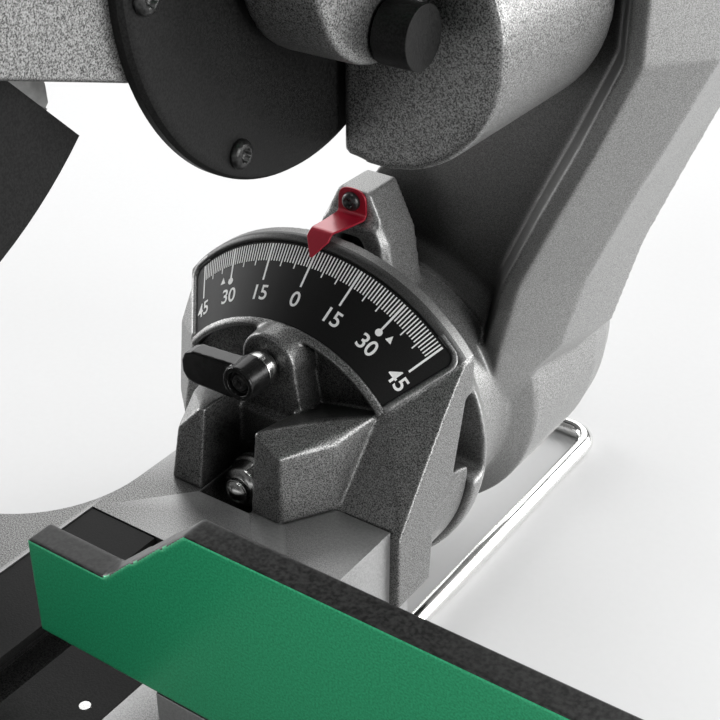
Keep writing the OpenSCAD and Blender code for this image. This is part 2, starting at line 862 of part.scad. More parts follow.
module hub_window(side) {
    rotate([-90, 0, 0]) rotate([0, 0, side > 0 ? -26 : 175]) rotate_extrude(angle = 31)
        translate([hub_r - 16, hub_front - 1]) square([20, 10]);
}

module bevel_arm() {
    color(gunmetal) pivot_frame() difference() {
        union() {
            yturn() polygon([[pivot_r + 2, hub_front], [hub_r, hub_front], [hub_r, hub_back - 15],
                [hub_r - 1.5, hub_back - 10], [hub_r - 5, hub_back - 4], [hub_r - 9, hub_back],
                [hub_r - 9, pocket_floor - 6], [hub_r, pocket_floor + 2],
                [hub_r, 106], [hub_r - 2, 120], [hub_r - 6, 132], [hub_r - 12, 142],
                [hub_r - 22, arm_back], [pivot_r + 2, arm_back]]);
            difference() {
                loft([concat(front_edge, left_edge), concat(side_edge, left_edge),
                    concat(rear_edge, left_edge)], [40, 60, 103]);
                arm_pocket();
            }
            pointer_bracket();
            translate([rail_x - housing_half, housing_y0, 206])
                cube([2 * housing_half, housing_y1 - housing_y0, rail_z + rail_gap + 28 - 206 - table_z]);
        }
        ycyl(pivot_r + fit, [0, arm_back + cut]);
        for (z = [rail_z, rail_z + rail_gap])
            ycyl(bush_r, [housing_y0 - cut, housing_y1 + cut], rail_x, z - table_z);
        block([rail_x - housing_half - 1, rail_x + housing_half - wall],
            [housing_y0 + bush_l + 1, housing_y1 - bush_l - 1],
            [206 + wall, rail_z + rail_gap + 28 - table_z - wall]);
        for (s = [-1, 1]) hub_window(s);
        ycyl(stop_pin_r + 1, [hub_front - cut, hub_front + 6], 0, stop_h);
        xcyl(5 + fit, [rail_x + 20, rail_x + housing_half + cut],
            [(housing_y0 + housing_y1) / 2, rail_z + rail_gap / 2 - table_z]);
    }
}

// Half width, height of the upper face and depth along the pointer's shelf and arrow
pointer_run = [[6.1, 80.4, bracket_front], [5.4, 81.1, 12.3], [4.6, 82, 3.1], [4.7, 79.6, 0.4],
    [0.3, 74.2, -4.1]];

module bevel_pointer() {
    foot = pointer_run[0][1] - sheet_t;
    ring = function (w, z, t) [[-w, z], [w, z], [w, z - t], [-w, z - t]];
    color(red) pivot_frame() {
        difference() {
            yext([bracket_front - sheet_t, bracket_front]) {
                translate([-tab_r, foot]) square([2 * tab_r, 91 - tab_r - foot]);
                translate([0, 91 - tab_r]) circle(tab_r);
            }
            ycyl(1.5 + fit, [bracket_front - 3, bracket_front + 1], 0, pointer_screw_z);
        }
        loft([for (p = pointer_run) ring(p[0], p[1], p[2] > 1 ? sheet_t : 1.4 * sheet_t)],
            [for (p = pointer_run) p[2] - 0.1]);
    }
}

module pointer_screw() {
    color(black) pivot_frame() translate([0, bracket_front - sheet_t, pointer_screw_z]) difference() {
        union() {
            yturn() polygon([[0, -2.6], [1.6, -2.4], [2.8, -1.6], [3.5, -0.4], [3.5, 0], [0, 0]]);
            ycyl(1.5, [-eps, 7]);
        }
        translate([0, -3, 0]) rotate([-90, 0, 0]) cylinder(r = 1.2, h = 1.8, $fn = 6);
    }
}

module bevel_clamp_lever() {
    color(black) pivot_frame() difference() {
        union() {
            ycyl(18, [clamp_y, pivot_end - 2]);
            translate([0, clamp_y + 4, 0]) rotate([0, -35, 0]) {
                translate([-78, 0, -7]) cube([78, 10, 14]);
                translate([-78, 5, 0]) ycyl(9, [-5, 9]);
            }
        }
        ycyl(8 + fit, [clamp_y - cut, pivot_end + cut]);
    }
}

// Slide
module rail_bushings() {
    color(black) for (z = [rail_z, rail_z + rail_gap], end = [0, 1]) {
        y = pivot_y + (end == 0 ? housing_y0 : housing_y1 - bush_l);
        difference() {
            ycyl(bush_r - 0.02, [y, y + bush_l], rail_x, z);
            ycyl(rail_r + fit, [y - cut, y + bush_l + cut], rail_x, z);
        }
    }
}

module slide_lock_knob() {
    x = rail_x + housing_half;
    color(black) translate([0, pivot_y + (housing_y0 + housing_y1) / 2, rail_z + rail_gap / 2]) {
        xcyl(5, [x - 18, x + 6]);
        difference() {
            xcyl(17, [x + 1, x + 22]);
            for (a = [0:45:315])
                rotate([a, 0, 0]) xcyl(3.5, [x, x + 24], [18, 0]);
        }
    }
}

module slide_rails() {
    color(steel) for (z = [rail_z, rail_z + rail_gap]) difference() {
        ycyl(rail_r, [rail_front, rail_back], rail_x, z);
        ycyl(rail_r - 3, [rail_front - cut, rail_back + cut], rail_x, z);
    }
}

module rail_end_plate() {
    color(black) difference() {
        union() {
            for (z = [rail_z, rail_z + rail_gap])
                ycyl(rail_r + 3, [rail_back, rail_back + end_plate_t], rail_x, z);
            block([rail_x - 9, rail_x + 9], [rail_back, rail_back + end_plate_t],
                [rail_z, rail_z + rail_gap]);
        }
    }
}

module slide_bracket() {
    color(gunmetal) difference() {
        union() {
            block([block_x0, block_x1], [bracket_y0, bracket_y1],
                [block_round[1] + 20, rail_z + rail_gap + 24]);
            difference() {
                ycyl(block_round_r, [bracket_y0, bracket_y1], block_round[0], block_round[1]);
                block([block_x0 - 2 * block_round_r, block_x0], [0, 2 * bracket_y1], [0, hinge_z + 50]);
            }
            xext(right_ear) strap([hinge_y, hinge_z], ear_r, [bracket_y0 + 38, hinge_z + 5], ear_r);
            block([left_ear[0], block_x0 + eps], [bridge_y0, bracket_y1], [bridge_z0, bridge_z1]);
            xext(left_ear) strap([hinge_y, hinge_z], hinge_hub_r, [bridge_y0 + 10, hinge_z + 2], 24);
        }
        xcyl(hinge_pin_r + 0.02, [left_ear[0] - cut, right_ear[1] + 40], [hinge_y, hinge_z]);
        for (z = [rail_z, rail_z + rail_gap])
            ycyl(rail_r + 0.02, [rail_front, bracket_y1 + cut], rail_x, z);
        xcyl(4 + fit, [block_x0 - cut, block_x1], [hinge_y, hinge_z - 21]);
    }
}

module chop_pivot_pin() {
    color(steel) {
        xcyl(hinge_pin_r, [left_ear[0] - 3, right_ear[1] + 3], [hinge_y, hinge_z]);
        xcyl(hinge_pin_r + 4, [left_ear[0] - 8, left_ear[0]], [hinge_y, hinge_z]);
    }
}

// Return spring round the chop hinge, one unbroken coil
spring_wire = 1.3;
spring_coil = 14.5;
spring_pitch = 3.3;
spring_turns = 3;
spring_rings = 8;
spring_sides = 6;
spring_start = left_ear[1] + spring_wire + 0.3;

function spring_at(t) = [spring_start + spring_pitch * t,
    hinge_y + spring_coil * cos(360 * t), hinge_z + spring_coil * sin(360 * t)];

function spring_ring(t) = [for (k = [0:spring_sides - 1])
    let (a = 360 * k / spring_sides, r = spring_coil + spring_wire * cos(a))
    [spring_at(t)[0] + spring_wire * sin(a), hinge_y + r * cos(360 * t), hinge_z + r * sin(360 * t)]];

spring_gap = min([for (i = [0:0.5:spring_rings]) for (d = [-0.5:0.25:0.5])
    norm(spring_at(1 + (i + d) / spring_rings) - spring_at(i / spring_rings))]) - 2 * spring_wire;
echo(spring_gap = spring_gap);

module chop_spring() {
    m = spring_turns * spring_rings;
    n = spring_sides;
    points = [for (i = [0:m]) for (p = spring_ring(i / spring_rings)) p];
    faces = [for (i = [0:m - 1]) for (k = [0:n - 1])
        let (a = i * n + k, b = i * n + (k + 1) % n) for (f = [[a, b, b + n], [a, b + n, a + n]]) f];
    caps = [for (k = [1:n - 2]) for (f = [[0, k + 1, k], [m * n, m * n + k, m * n + k + 1]]) f];
    color(steel) polyhedron(points, concat(faces, caps));
}

module head_lock_pin() {
    color(black) {
        xcyl(4, [block_x0 - 0.5, right_ear[1] + 12], [hinge_y, hinge_z - 21]);
        xcyl(9, [right_ear[1] + 1, right_ear[1] + 12], [hinge_y, hinge_z - 21]);
    }
}

// Head
module gear_case() {
    color(gunmetal) head_frame() difference() {
        union() {
            xcyl(hinge_hub_r, hinge_hub_x);
            xcyl(hinge_flange_r, [19, case_x[1]]);
            xext(case_x) {
                strap([0, 0], 42, bc, case_r);
                strap(bc, case_r, mc, motor_boss_r);
            }
            xcyl(lower_hub_r, [lower_w - lower_t - 0.3, case_x[1]], bc);
            xcyl(bearing_r + 5, [case_x[0], bearing_x[1] + 1], bc);
        }
        xcyl(hinge_pin_r + fit, [-20, case_x[1] + cut]);
        xcyl(bearing_r, [bearing_x[0], 50], bc);
        xcyl(bearing_r - 3, [0, 50], bc);
        xcyl(rotor_r + 4, [0, 50], mc);
        xcyl(5 + fit, [case_x[0] - cut, 50], bc + [0, 32]);
    }
}

module hinge_cover() {
    x = case_x[1];
    color(black) head_frame() difference() {
        xturn([0, 360]) polygon([[hinge_pin_r + 4, x], [hinge_cover_r, x], [hinge_cover_r, x + 2.5],
            [hinge_cover_r - 1, x + 4], [hinge_cover_r - 3, x + cover_t], [hinge_pin_r + 4, x + cover_t]]);
        for (a = [0:60:300])
            rotate([a + cover_screw_turn, 0, 0]) xcyl(1.6, [x - 1, x + 8], [cover_screw_r, 0]);
    }
}

module hinge_cover_screws() {
    x = case_x[1];
    color(black) head_frame() for (a = [0:60:300]) rotate([a + cover_screw_turn, 0, 0]) {
        xcyl(1.58, [x, x + cover_t], [cover_screw_r, 0]);
        translate([0, cover_screw_r, 0]) xturn([0, 360])
            polygon([[0, x + cover_t], [4.2, x + cover_t], [3.9, x + cover_t + 1.4],
                [2.6, x + cover_t + 2.2], [0, x + cover_t + 2.4]]);
    }
}

module upper_guard() {
    color(gunmetal) head_frame() difference() {
        xturn(guard_span, bc) polygon([[34, guard_w], [guard_r, guard_w], [guard_r, -guard_w],
            [46, -guard_w], [46, guard_wall - guard_w], [guard_r - guard_wall, guard_wall - guard_w],
            [guard_r - guard_wall, guard_w - guard_wall], [34, guard_w - guard_wall]]);
        xcyl(hinge_hub_r + 1, [-20, 30]);
        chute_axis() zcyl(spigot_r - 3, [guard_r - 20, guard_r + 10]);
    }
}

module belt_cover() {
    color(black) head_frame() difference() {
        xext(belt_cover_x) strap(bc, belt_cover_r, mc, belt_cover_r - 4);
        xext([belt_cover_x[0] - cut, belt_cover_x[1] - 3])
            strap(bc, belt_cover_r - 3, mc, belt_cover_r - 7);
        xcyl(rotor_r + 1, [40, 50], mc);
        xcyl(6, [40, 50], bc + [0, 32]);
    }
}

module drive_belt() {
    color(black) head_frame() difference() {
        xext([pulley_x[0] + 1, pulley_x[1] - 1])
            strap(bc, spindle_pulley_r + belt_t, mc, motor_pulley_r + belt_t);
        xext([pulley_x[0], pulley_x[1]])
            strap(bc, spindle_pulley_r + 0.3, mc, motor_pulley_r + 0.3);
    }
}

module motor_housing() {
    color(green) head_frame() difference() {
        union() {
            xcyl(motor_r, [motor_x0, motor_x1], mc);
            translate([motor_x0 + 14, mc[0] - 30, mc[1]]) cube([motor_l - 24, 60, motor_r + 6]);
        }
        xcyl(motor_r - 5, [motor_x0 + 4, motor_x1 + cut], mc);
        xcyl(rotor_r + fit, [motor_x0 - cut, motor_x1], mc);
    }
}

module motor_end_cover() {
    color(black) head_frame() difference() {
        xcyl(motor_r, [motor_x1, motor_x1 + motor_cover_t], mc);
        xcyl(rotor_r + fit, [motor_x1 - cut, motor_x1 + 6], mc);
        for (a = [0:30:330]) translate([0, mc[0], mc[1]]) rotate([a, 0, 0])
            block([motor_x1 - 1, motor_x1 + motor_cover_t + 1], [18, motor_r - 8], [-2.5, 2.5]);
    }
}

module battery() {
    z = mc[1] + motor_r + 6;
    color(black) head_frame() {
        block([motor_x0 + 8, motor_x1 - 2], [mc[0] - 40, mc[0] + 40], [z + 0.3, z + 14]);
        block([motor_x0 + 4, motor_x1 + 4], [mc[0] - 44, mc[0] + 44], [z + 14 - eps, z + 62]);
        block([motor_x1 - 16, motor_x1 - 2], [mc[0] + 44 - eps, mc[0] + 46], [z + 24, z + 44]);
    }
}

module chute_axis() {
    translate([spigot_x, bc[0], bc[1]]) rotate([chop_angle - 90, 0, 0]) children();
}

module dust_chute() {
    color(black) head_frame() difference() {
        chute_axis() {
            zcyl(spigot_r, [guard_r - 10, guard_r + 58]);
            translate([-spigot_r, -24, guard_r - 10]) cube([2 * spigot_r, 48, 24]);
        }
        xcyl(guard_r + 0.02, [-40, 40], bc);
        chute_axis() zcyl(spigot_r - 3, [guard_r - 30, guard_r + 60]);
    }
}

module carry_handle() {
    carry_seat = bc + guard_r * [cos(112), sin(112)];
    color(black) head_frame() difference() {
        xext([-11, 11]) difference() {
            translate(carry_seat) polygon([[-44.3, -38], [-52.3, 22], [-38.3, 44], [27.7, 58],
                [43.7, 48], [45.7, 2]]);
            translate(carry_seat) polygon([[-28.3, -8], [-32.3, 18], [-26.3, 26], [19.7, 36],
                [25.7, 30], [23.7, 8]]);
        }
        xcyl(guard_r + 0.02, [-40, 40], bc);
    }
}

handle_out = [[-118, 62], [-132, 92], [-176, 112], [-236, 104], [-256, 78], [-252, 14], [-232, -14],
    [-166, -8], [-130, 22]];
handle_gap = [[-150, 68], [-176, 78], [-222, 76], [-230, 66], [-228, 24], [-218, 12], [-166, 18],
    [-150, 34]];

module main_handle() {
    color(black) head_frame() difference() {
        xext([-15, 15]) difference() {
            translate(bc) polygon(handle_out);
            translate(bc) polygon(handle_gap);
        }
        xcyl(guard_r + 0.02, [-40, 40], bc);
        trigger_frame() {
            block([-7, 7], [-8, 42], [-30, 8]);
            xcyl(2.5, [-16, 16]);
        }
        xcyl(6 + fit, [3, 16], bc + [-236, 90]);
    }
}

module trigger_frame() {
    translate([0, bc[0] - 214, bc[1] + 92]) children();
}

module trigger() {
    color(black) head_frame() trigger_frame() difference() {
        union() {
            xcyl(6, [-6.5, 6.5]);
            xext([-6.5, 6.5]) polygon([[-5, -2], [0, 5], [38, 2], [39, -18], [33, -26], [20, -24], [4, -18]]);
        }
        xcyl(2.5 + fit, [-8, 8]);
    }
}

module trigger_pin() {
    color(steel) head_frame() trigger_frame() xcyl(2.48, [-14.5, 14.5]);
}

module lock_off_button() {
    color(black) head_frame() xcyl(6, [8, 18], bc + [-236, 90]);
}

module spindle_lock_button() {
    color(black) head_frame() {
        xcyl(5, [24, 52], bc + [0, 32]);
        xcyl(8, [49.5, 54], bc + [0, 32]);
    }
}

// Blade and drive
module spindle_bearings() {
    color(steel) head_frame() for (x = [bearing_x[0], bearing_x[1] - 8]) difference() {
        xcyl(bearing_r - 0.02, [x, x + 8], bc);
        xcyl(spindle_r + fit, [x - 1, x + 9], bc);
    }
}

module spindle() {
    color(steel) head_frame() {
        xcyl(spindle_r, [blade_t / 2 + flange_t, pulley_x[1]], bc);
        xcyl(spindle_pulley_r, pulley_x, bc);
    }
}

module saw_blade() {
    step = 360 / teeth;
    root = blade_r - 7;
    outline = [for (i = [0:teeth - 1]) for (p = [[root, 0], [blade_r, 0.06], [blade_r - 0.6, 0.34],
        [root - 0.5, 0.72]]) p[0] * [cos((i + p[1]) * step), sin((i + p[1]) * step)]];
    color(steel) head_frame() xext([-blade_t / 2, blade_t / 2]) translate(bc) difference() {
        polygon(outline);
        circle(8);
    }
}

module blade_flanges() {
    color(steel) head_frame() {
        difference() {
            xcyl(flange_r, [blade_t / 2, blade_t / 2 + flange_t], bc);
            xcyl(4.02, [0, 20], bc);
        }
        difference() {
            xcyl(flange_r, [-blade_t / 2 - flange_t + 1, -blade_t / 2], bc);
            xcyl(4.02, [-20, 0], bc);
        }
    }
}

module arbor_bolt() {
    x = -blade_t / 2 - flange_t + 1;
    color(steel) head_frame() translate([0, bc[0], bc[1]]) {
        xcyl(4, [x, blade_t / 2 + flange_t]);
        translate([x - 6, 0, 0]) rotate([0, 90, 0]) cylinder(r = 8, h = 6, $fn = 6);
    }
}

module motor_rotor() {
    color(steel) head_frame() {
        xcyl(rotor_r, [pulley_x[0] - 3, motor_x1 + 5], mc);
        xcyl(motor_pulley_r, pulley_x, mc);
        xcyl(motor_r - 14, [motor_x0 + 16, motor_x1 - 16], mc);
    }
}

module lower_guard() {
    color(black) head_frame() {
        xturn(lower_span, bc) {
            polygon([[lower_hub_r + 9, lower_w - lower_t], [lower_r - lower_rim, lower_w - lower_t],
                [lower_r - lower_rim, lower_t - lower_w], [70, lower_t - lower_w], [70, -lower_w],
                [lower_r, -lower_w], [lower_r, lower_w], [lower_hub_r + 9, lower_w]]);
        }
        difference() {
            xcyl(lower_hub_r + 12, [lower_w - lower_t - 0.1, lower_w + 0.1], bc);
            xcyl(lower_hub_r + fit, [0, 20], bc);
        }
    }
}

base_frame();
mitre_scale_plate();
rear_stand_bar();
turntable_pivot_bolt();
fence_right();
fence_left();
fence_bolts();
upper_fence_right();
upper_fence_left();
fence_knob_right();
fence_knob_left();
turntable();
kerf_inserts();
insert_screws();
mitre_pointer();
mitre_lock_handle();
mitre_detent_lever();
detent_pivot_pin();
bevel_housing();
bevel_scale();
bevel_pivot_shaft();
bevel_pivot_nut();
stop_pin();
stop_lever();
stop_lever_screw();
bevel_arm();
bevel_pointer();
pointer_screw();
bevel_clamp_lever();
rail_bushings();
slide_lock_knob();
slide_rails();
rail_end_plate();
slide_bracket();
chop_pivot_pin();
chop_spring();
head_lock_pin();
gear_case();
hinge_cover();
hinge_cover_screws();
upper_guard();
belt_cover();
drive_belt();
motor_housing();
motor_end_cover();
battery();
dust_chute();
carry_handle();
main_handle();
trigger();
trigger_pin();
lock_off_button();
spindle_lock_button();
spindle_bearings();
spindle();
saw_blade();
blade_flanges();
arbor_bolt();
motor_rotor();
lower_guard();
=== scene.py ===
"""Looks of the sliding mitre saw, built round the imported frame. Metres, same axes as the part."""
import json
import math

import bmesh
import bpy
from mathutils import Matrix, Vector


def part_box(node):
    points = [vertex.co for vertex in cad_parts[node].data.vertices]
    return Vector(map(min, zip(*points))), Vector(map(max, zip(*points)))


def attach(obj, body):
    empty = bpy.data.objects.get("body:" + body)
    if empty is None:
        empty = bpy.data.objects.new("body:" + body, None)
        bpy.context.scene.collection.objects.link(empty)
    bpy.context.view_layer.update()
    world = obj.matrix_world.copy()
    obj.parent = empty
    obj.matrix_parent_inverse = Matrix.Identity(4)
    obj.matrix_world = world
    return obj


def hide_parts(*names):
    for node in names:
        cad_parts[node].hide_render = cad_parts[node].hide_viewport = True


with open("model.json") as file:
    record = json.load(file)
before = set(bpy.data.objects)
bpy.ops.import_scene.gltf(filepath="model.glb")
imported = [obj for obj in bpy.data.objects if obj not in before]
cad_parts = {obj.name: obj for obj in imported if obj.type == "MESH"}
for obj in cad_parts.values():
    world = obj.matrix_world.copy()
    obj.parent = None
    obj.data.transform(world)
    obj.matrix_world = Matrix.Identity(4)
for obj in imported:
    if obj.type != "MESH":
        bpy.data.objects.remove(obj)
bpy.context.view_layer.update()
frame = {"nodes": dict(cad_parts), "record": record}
MM = 0.001
JOINTS = {j["name"]: j for j in frame["record"]["behaviour"]["joints"]}
SLOTS = {s["node"]: s["material_slot"] for s in frame["record"]["subparts"]}
BODIES = {n: b for b, nodes in frame["record"]["behaviour"]["bodies"].items() for n in nodes}
# Bevel axis at the scale, chop hinge, blade and motor axes, in millimetres
PIVOT = Vector(JOINTS["bevel"]["pos_m"]) / MM
HINGE = Vector(JOINTS["chop"]["pos_m"]) / MM
BLADE_AXIS = Vector(JOINTS["blade_spin"]["pos_m"]) / MM
MOTOR_AXIS = Vector(JOINTS["rotor_spin"]["pos_m"]) / MM
# Turn of the head from its cutting pose to its raised pose at rest
RAISED = -math.radians(JOINTS["chop"]["range_deg"][1])
# Bevel scale: radius of its outer tick circle, run per depth down its slope, and numbered marks
SCALE_R = 75
SLOPE = math.sqrt(0.5)
MARKS = (-45, -30, -15, 0, 15, 30, 45)
# Depth of the dark band at the front of the rim over the scale, whose darkness is partly the rim's own dark
# finish and partly painted shade of the gap between the rim and the hub
RIM_BAND = 3.4
# Directions in which screws and nuts face
FRONT = (0, -1, 0)
RIGHT = (1, 0, 0)


# Materials

def new_material(name):
    """A material with one shader and nothing else, and that shader."""
    material = bpy.data.materials.new(name)
    material.use_nodes = True
    nodes = material.node_tree.nodes
    nodes.clear()
    output = nodes.new("ShaderNodeOutputMaterial")
    shader = nodes.new("ShaderNodeBsdfPrincipled")
    material.node_tree.links.new(shader.outputs[0], output.inputs[0])
    return material, shader


def noise(material, scale, detail=2.0, stretch=None):
    """A noise over the object's own coordinates, stretched along them where asked."""
    nodes, links = material.node_tree.nodes, material.node_tree.links
    coords = nodes.new("ShaderNodeTexCoord")
    texture = nodes.new("ShaderNodeTexNoise")
    texture.inputs["Scale"].default_value = scale
    texture.inputs["Detail"].default_value = detail
    source = coords.outputs["Object"]
    if stretch:
        mapping = nodes.new("ShaderNodeMapping")
        mapping.inputs["Scale"].default_value = stretch
        links.new(source, mapping.inputs[0])
        source = mapping.outputs[0]
    links.new(source, texture.inputs["Vector"])
    return texture.outputs["Fac"]


def ramp(material, source, stops):
    """Colours or greys along a value, by stops of (place, colour)."""
    node = material.node_tree.nodes.new("ShaderNodeValToRGB")
    material.node_tree.links.new(source, node.inputs[0])
    elements = node.color_ramp.elements
    while len(elements) < len(stops):
        elements.new(0.5)
    for element, (place, colour) in zip(elements, stops):
        element.position = place
        element.color = (*colour, 1) if isinstance(colour, tuple) else (colour, colour, colour, 1)
    return node.outputs[0]


def mixed(material, kind, factor, first, second):
    """Two colours mixed by a factor that is a number or the output of a node."""
    node = material.node_tree.nodes.new("ShaderNodeMix")
    node.data_type = "RGBA"
    node.blend_type = kind
    links = material.node_tree.links
    if isinstance(factor, float):
        node.inputs[0].default_value = factor
    else:
        links.new(factor, node.inputs[0])
    links.new(first, node.inputs[6])
    links.new(second, node.inputs[7])
    return node.outputs[2]


def bump(material, shader, source, strength, distance):
    """Fine relief from a value, its height in metres."""
    node = material.node_tree.nodes.new("ShaderNodeBump")
    node.inputs["Strength"].default_value = strength
    node.inputs["Distance"].default_value = distance
    material.node_tree.links.new(source, node.inputs["Height"])
    material.node_tree.links.new(node.outputs[0], shader.inputs["Normal"])


def hollows(material, colour, depth, reach):
    """Painted shade: darkens a colour in hollows, down to a share of its value, within a reach in metres.
    """
    node = material.node_tree.nodes.new("ShaderNodeAmbientOcclusion")
    node.samples = 6
    node.inputs["Distance"].default_value = reach
    dark = ramp(material, node.outputs["AO"], [(0.25, depth), (0.85, 1.0)])
    return mixed(material, "MULTIPLY", 1.0, colour, dark)


def worn(material, colour, light):
    """Painted highlight: lightens the raised edges of a casting, where their rounding would catch the
    light.
    """
    geometry = material.node_tree.nodes.new("ShaderNodeNewGeometry")
    edge = ramp(material, geometry.outputs["Pointiness"], [(0.53, 0.0), (0.6, 0.7)])
    grain = ramp(material, noise(material, 900, 2.0), [(0.3, light), (0.7, light * 0.8)])
    return mixed(material, "MIX", edge, colour, grain)


def banded(material, first, second, edge):
    """Changes from one colour to another behind a plane across the saw's length."""
    place = material.node_tree.nodes.new("ShaderNodeTexCoord")
    parts = material.node_tree.nodes.new("ShaderNodeSeparateXYZ")
    step = material.node_tree.nodes.new("ShaderNodeMath")
    step.operation = "GREATER_THAN"
    step.inputs[1].default_value = edge
    material.node_tree.links.new(place.outputs["Object"], parts.inputs[0])
    material.node_tree.links.new(parts.outputs["Y"], step.inputs[0])
    return mixed(material, "MIX", step.outputs[0], first, second)


# Values of a grain at which its dark and its light colour are full
GRAIN_LOW = 0.36
GRAIN_HIGH = 0.64


def grained(name, low, high, metal, rough, scale, strength, depth=0.0002, coat=0.0, stretch=None,
            hollow_shade=None, edge_highlight=None, shine=0.5, behind=None):
    """A surface whose colour, roughness and relief follow one fine grain, with painted shade in its hollows
    and a painted highlight on its raised edges where asked.
    """
    material, shader = new_material(name)
    links = material.node_tree.links
    grain = noise(material, scale, 3.0, stretch)
    colour = ramp(material, grain, [(GRAIN_LOW, low), (GRAIN_HIGH, high)])
    if behind:
        edge, low, high = behind
        rear = ramp(material, grain, [(GRAIN_LOW, low), (GRAIN_HIGH, high)])
        colour = banded(material, colour, rear, edge)
    if hollow_shade:
        colour = hollows(material, colour, *hollow_shade)
    if edge_highlight:
        colour = worn(material, colour, edge_highlight)
    links.new(colour, shader.inputs["Base Color"])
    links.new(ramp(material, grain, [(0.3, rough[0]), (0.7, rough[1])]), shader.inputs["Roughness"])
    if strength:
        bump(material, shader, grain, strength, depth)
    shader.inputs["Metallic"].default_value = metal
    shader.inputs["Coat Weight"].default_value = coat
    shader.inputs["Coat Roughness"].default_value = 0.2
    shader.inputs["Specular IOR Level"].default_value = shine
    return material


def grey(value):
    """A grey that leans a little to the warm side."""
    return (value, value, value * 0.985)


# The castings take painted shade in their hollows and a painted highlight on their raised edges.
CASTING = grained("casting", grey(0.05), grey(0.37), 0.75, (0.3, 0.45), 2300, 0.4, 0.00014,
                  hollow_shade=(0.22, 0.03), edge_highlight=0.58)
# The arm's one casting in two copies that differ in painted shade: the first darkens its hollows deeply and
# far, so that the pocket facing the front reads as in shade; the second, less metallic, darkens only tight
# creases and goes where the light falls.
ARM_SHADED = grained("casting_satin_shaded", grey(0.2), grey(0.4), 0.8, (0.4, 0.5), 2700, 0.22, 0.00012,
              hollow_shade=(0.05, 0.1), edge_highlight=0.5)
ARM_LIT = grained("casting_arm_lit", grey(0.13), grey(0.42), 0.55, (0.34, 0.46), 2400, 0.3, 0.00012,
              hollow_shade=(0.3, 0.015), edge_highlight=0.5)
BLACK = grained("black_plastic", grey(0.005), grey(0.014), 0.0, (0.4, 0.55), 1600, 0.3, shine=0.14)
GLOSS = grained("gloss_black", grey(0.006), grey(0.012), 0.0, (0.16, 0.26), 500, 0.04, coat=0.1,
                shine=0.25)
LABEL = grained("label", grey(0.005), grey(0.009), 0.0, (0.5, 0.6), 2600, 0.06, shine=0.2)
WHITE = grained("print_white", grey(0.93), grey(0.97), 0.0, (0.5, 0.6), 1500, 0.02, shine=0.2)
STEEL = grained("steel", grey(0.5), grey(0.62), 1.0, (0.18, 0.26), 900, 0.02)
CHROME = grained("chrome", grey(0.78), grey(0.84), 1.0, (0.1, 0.16), 200, 0.01)
# The rim is dark along its front band, partly its own dark finish and partly painted shade of the gap next
# to it; behind that band it is a lighter grey.
RIM = grained("rim", grey(0.035), grey(0.09), 0.5, (0.4, 0.5), 2700, 0.15, 0.0001,
              behind=((PIVOT.y + RIM_BAND) * MM, grey(0.12), grey(0.3)))
DARK_STEEL = grained("dark_steel", grey(0.02), grey(0.05), 0.7, (0.3, 0.36), 1200, 0.1)
BARE = grained("fence_edge", grey(0.02), grey(0.045), 0.6, (0.3, 0.42), 900, 0.05)
RAIL = grained("rail", grey(0.62), grey(0.78), 1.0, (0.1, 0.18), 700, 0.0, stretch=(1, 0.03, 1))
GREEN = grained("green_paint", (0.016, 0.36, 0.15), (0.04, 0.52, 0.24), 0.35, (0.3, 0.38), 1700, 0.1,
                coat=0.4)
RED = grained("red_paint", (0.36, 0.008, 0.026), (0.38, 0.01, 0.03), 0.3, (0.3, 0.34), 1500, 0.0,
              coat=0.5)
BLADE = grained("blade", grey(0.46), grey(0.54), 1.0, (0.32, 0.4), 500, 0.0)
CARBIDE = grained("carbide", grey(0.2), grey(0.3), 1.0, (0.32, 0.4), 900, 0.0)
RUBBER = grained("rubber", grey(0.012), grey(0.025), 0.0, (0.6, 0.75), 1500, 0.3)

BY_SLOT = {"casting": CASTING, "black_plastic": BLACK, "gloss_black": GLOSS, "label": LABEL,
           "steel": STEEL, "rail": RAIL, "green_fence": GREEN, "green_motor": GREEN, "red": RED,
           "blade": BLADE, "belt": RUBBER}
BY_NODE = {"bevel_arm": ARM_SHADED, "rear_stand_bar": CHROME}


def material_of(node):
    """The material of a node, by its own name or else by its slot."""
    return BY_NODE.get(node, BY_SLOT[SLOTS[node]])


# Rounded edges of the solids that stay as they are, in millimetres

EDGES = {"bevel_scale": 0.15, "base_frame": 2.0, "turntable": 1.2, "gear_case": 2.0, "upper_guard": 1.2,
         "lower_guard": 0.5, "motor_end_cover": 1.5, "belt_cover": 3.0, "fence_right": 0.8,
         "fence_left": 0.8, "chop_spring": 0.0, "mitre_lock_handle": 1.0, "trigger": 2.0,
         "mitre_detent_lever": 1.5, "bevel_clamp_lever": 2.0, "slide_lock_knob": 1.0,
         "fence_knob_right": 1.0, "fence_knob_left": 1.0, "hinge_cover": 0.25, "stop_pin": 0.4,
         "rail_end_plate": 1.5, "dust_chute": 0.8}
EDGE_DEFAULT = 0.3
# Flat faces with many slots, which stay in triangles
SLOTTED = ("motor_end_cover",)


def weld(obj):
    """Joins the corners that the triangles of a solid share."""
    modifier = obj.modifiers.new("weld", "WELD")
    modifier.merge_threshold = 0.00001


def round_edges(obj, width, angle=28, segments=3):
    """Merges flat faces and rounds the edges between them, by a width in millimetres."""
    weld(obj)
    if obj.name not in SLOTTED:
        flat = obj.modifiers.new("flat", "DECIMATE")
        flat.decimate_type = "DISSOLVE"
        flat.angle_limit = math.radians(0.5)
    if width > 0:
        bevel = obj.modifiers.new("edges", "BEVEL")
        bevel.width = width * MM
        bevel.segments = segments
        bevel.limit_method = "ANGLE"
        bevel.angle_limit = math.radians(angle)
        bevel.use_clamp_overlap = True
        bevel.miter_outer = "MITER_ARC"
    smooth = obj.modifiers.new("normals", "WEIGHTED_NORMAL")
    smooth.keep_sharp = False


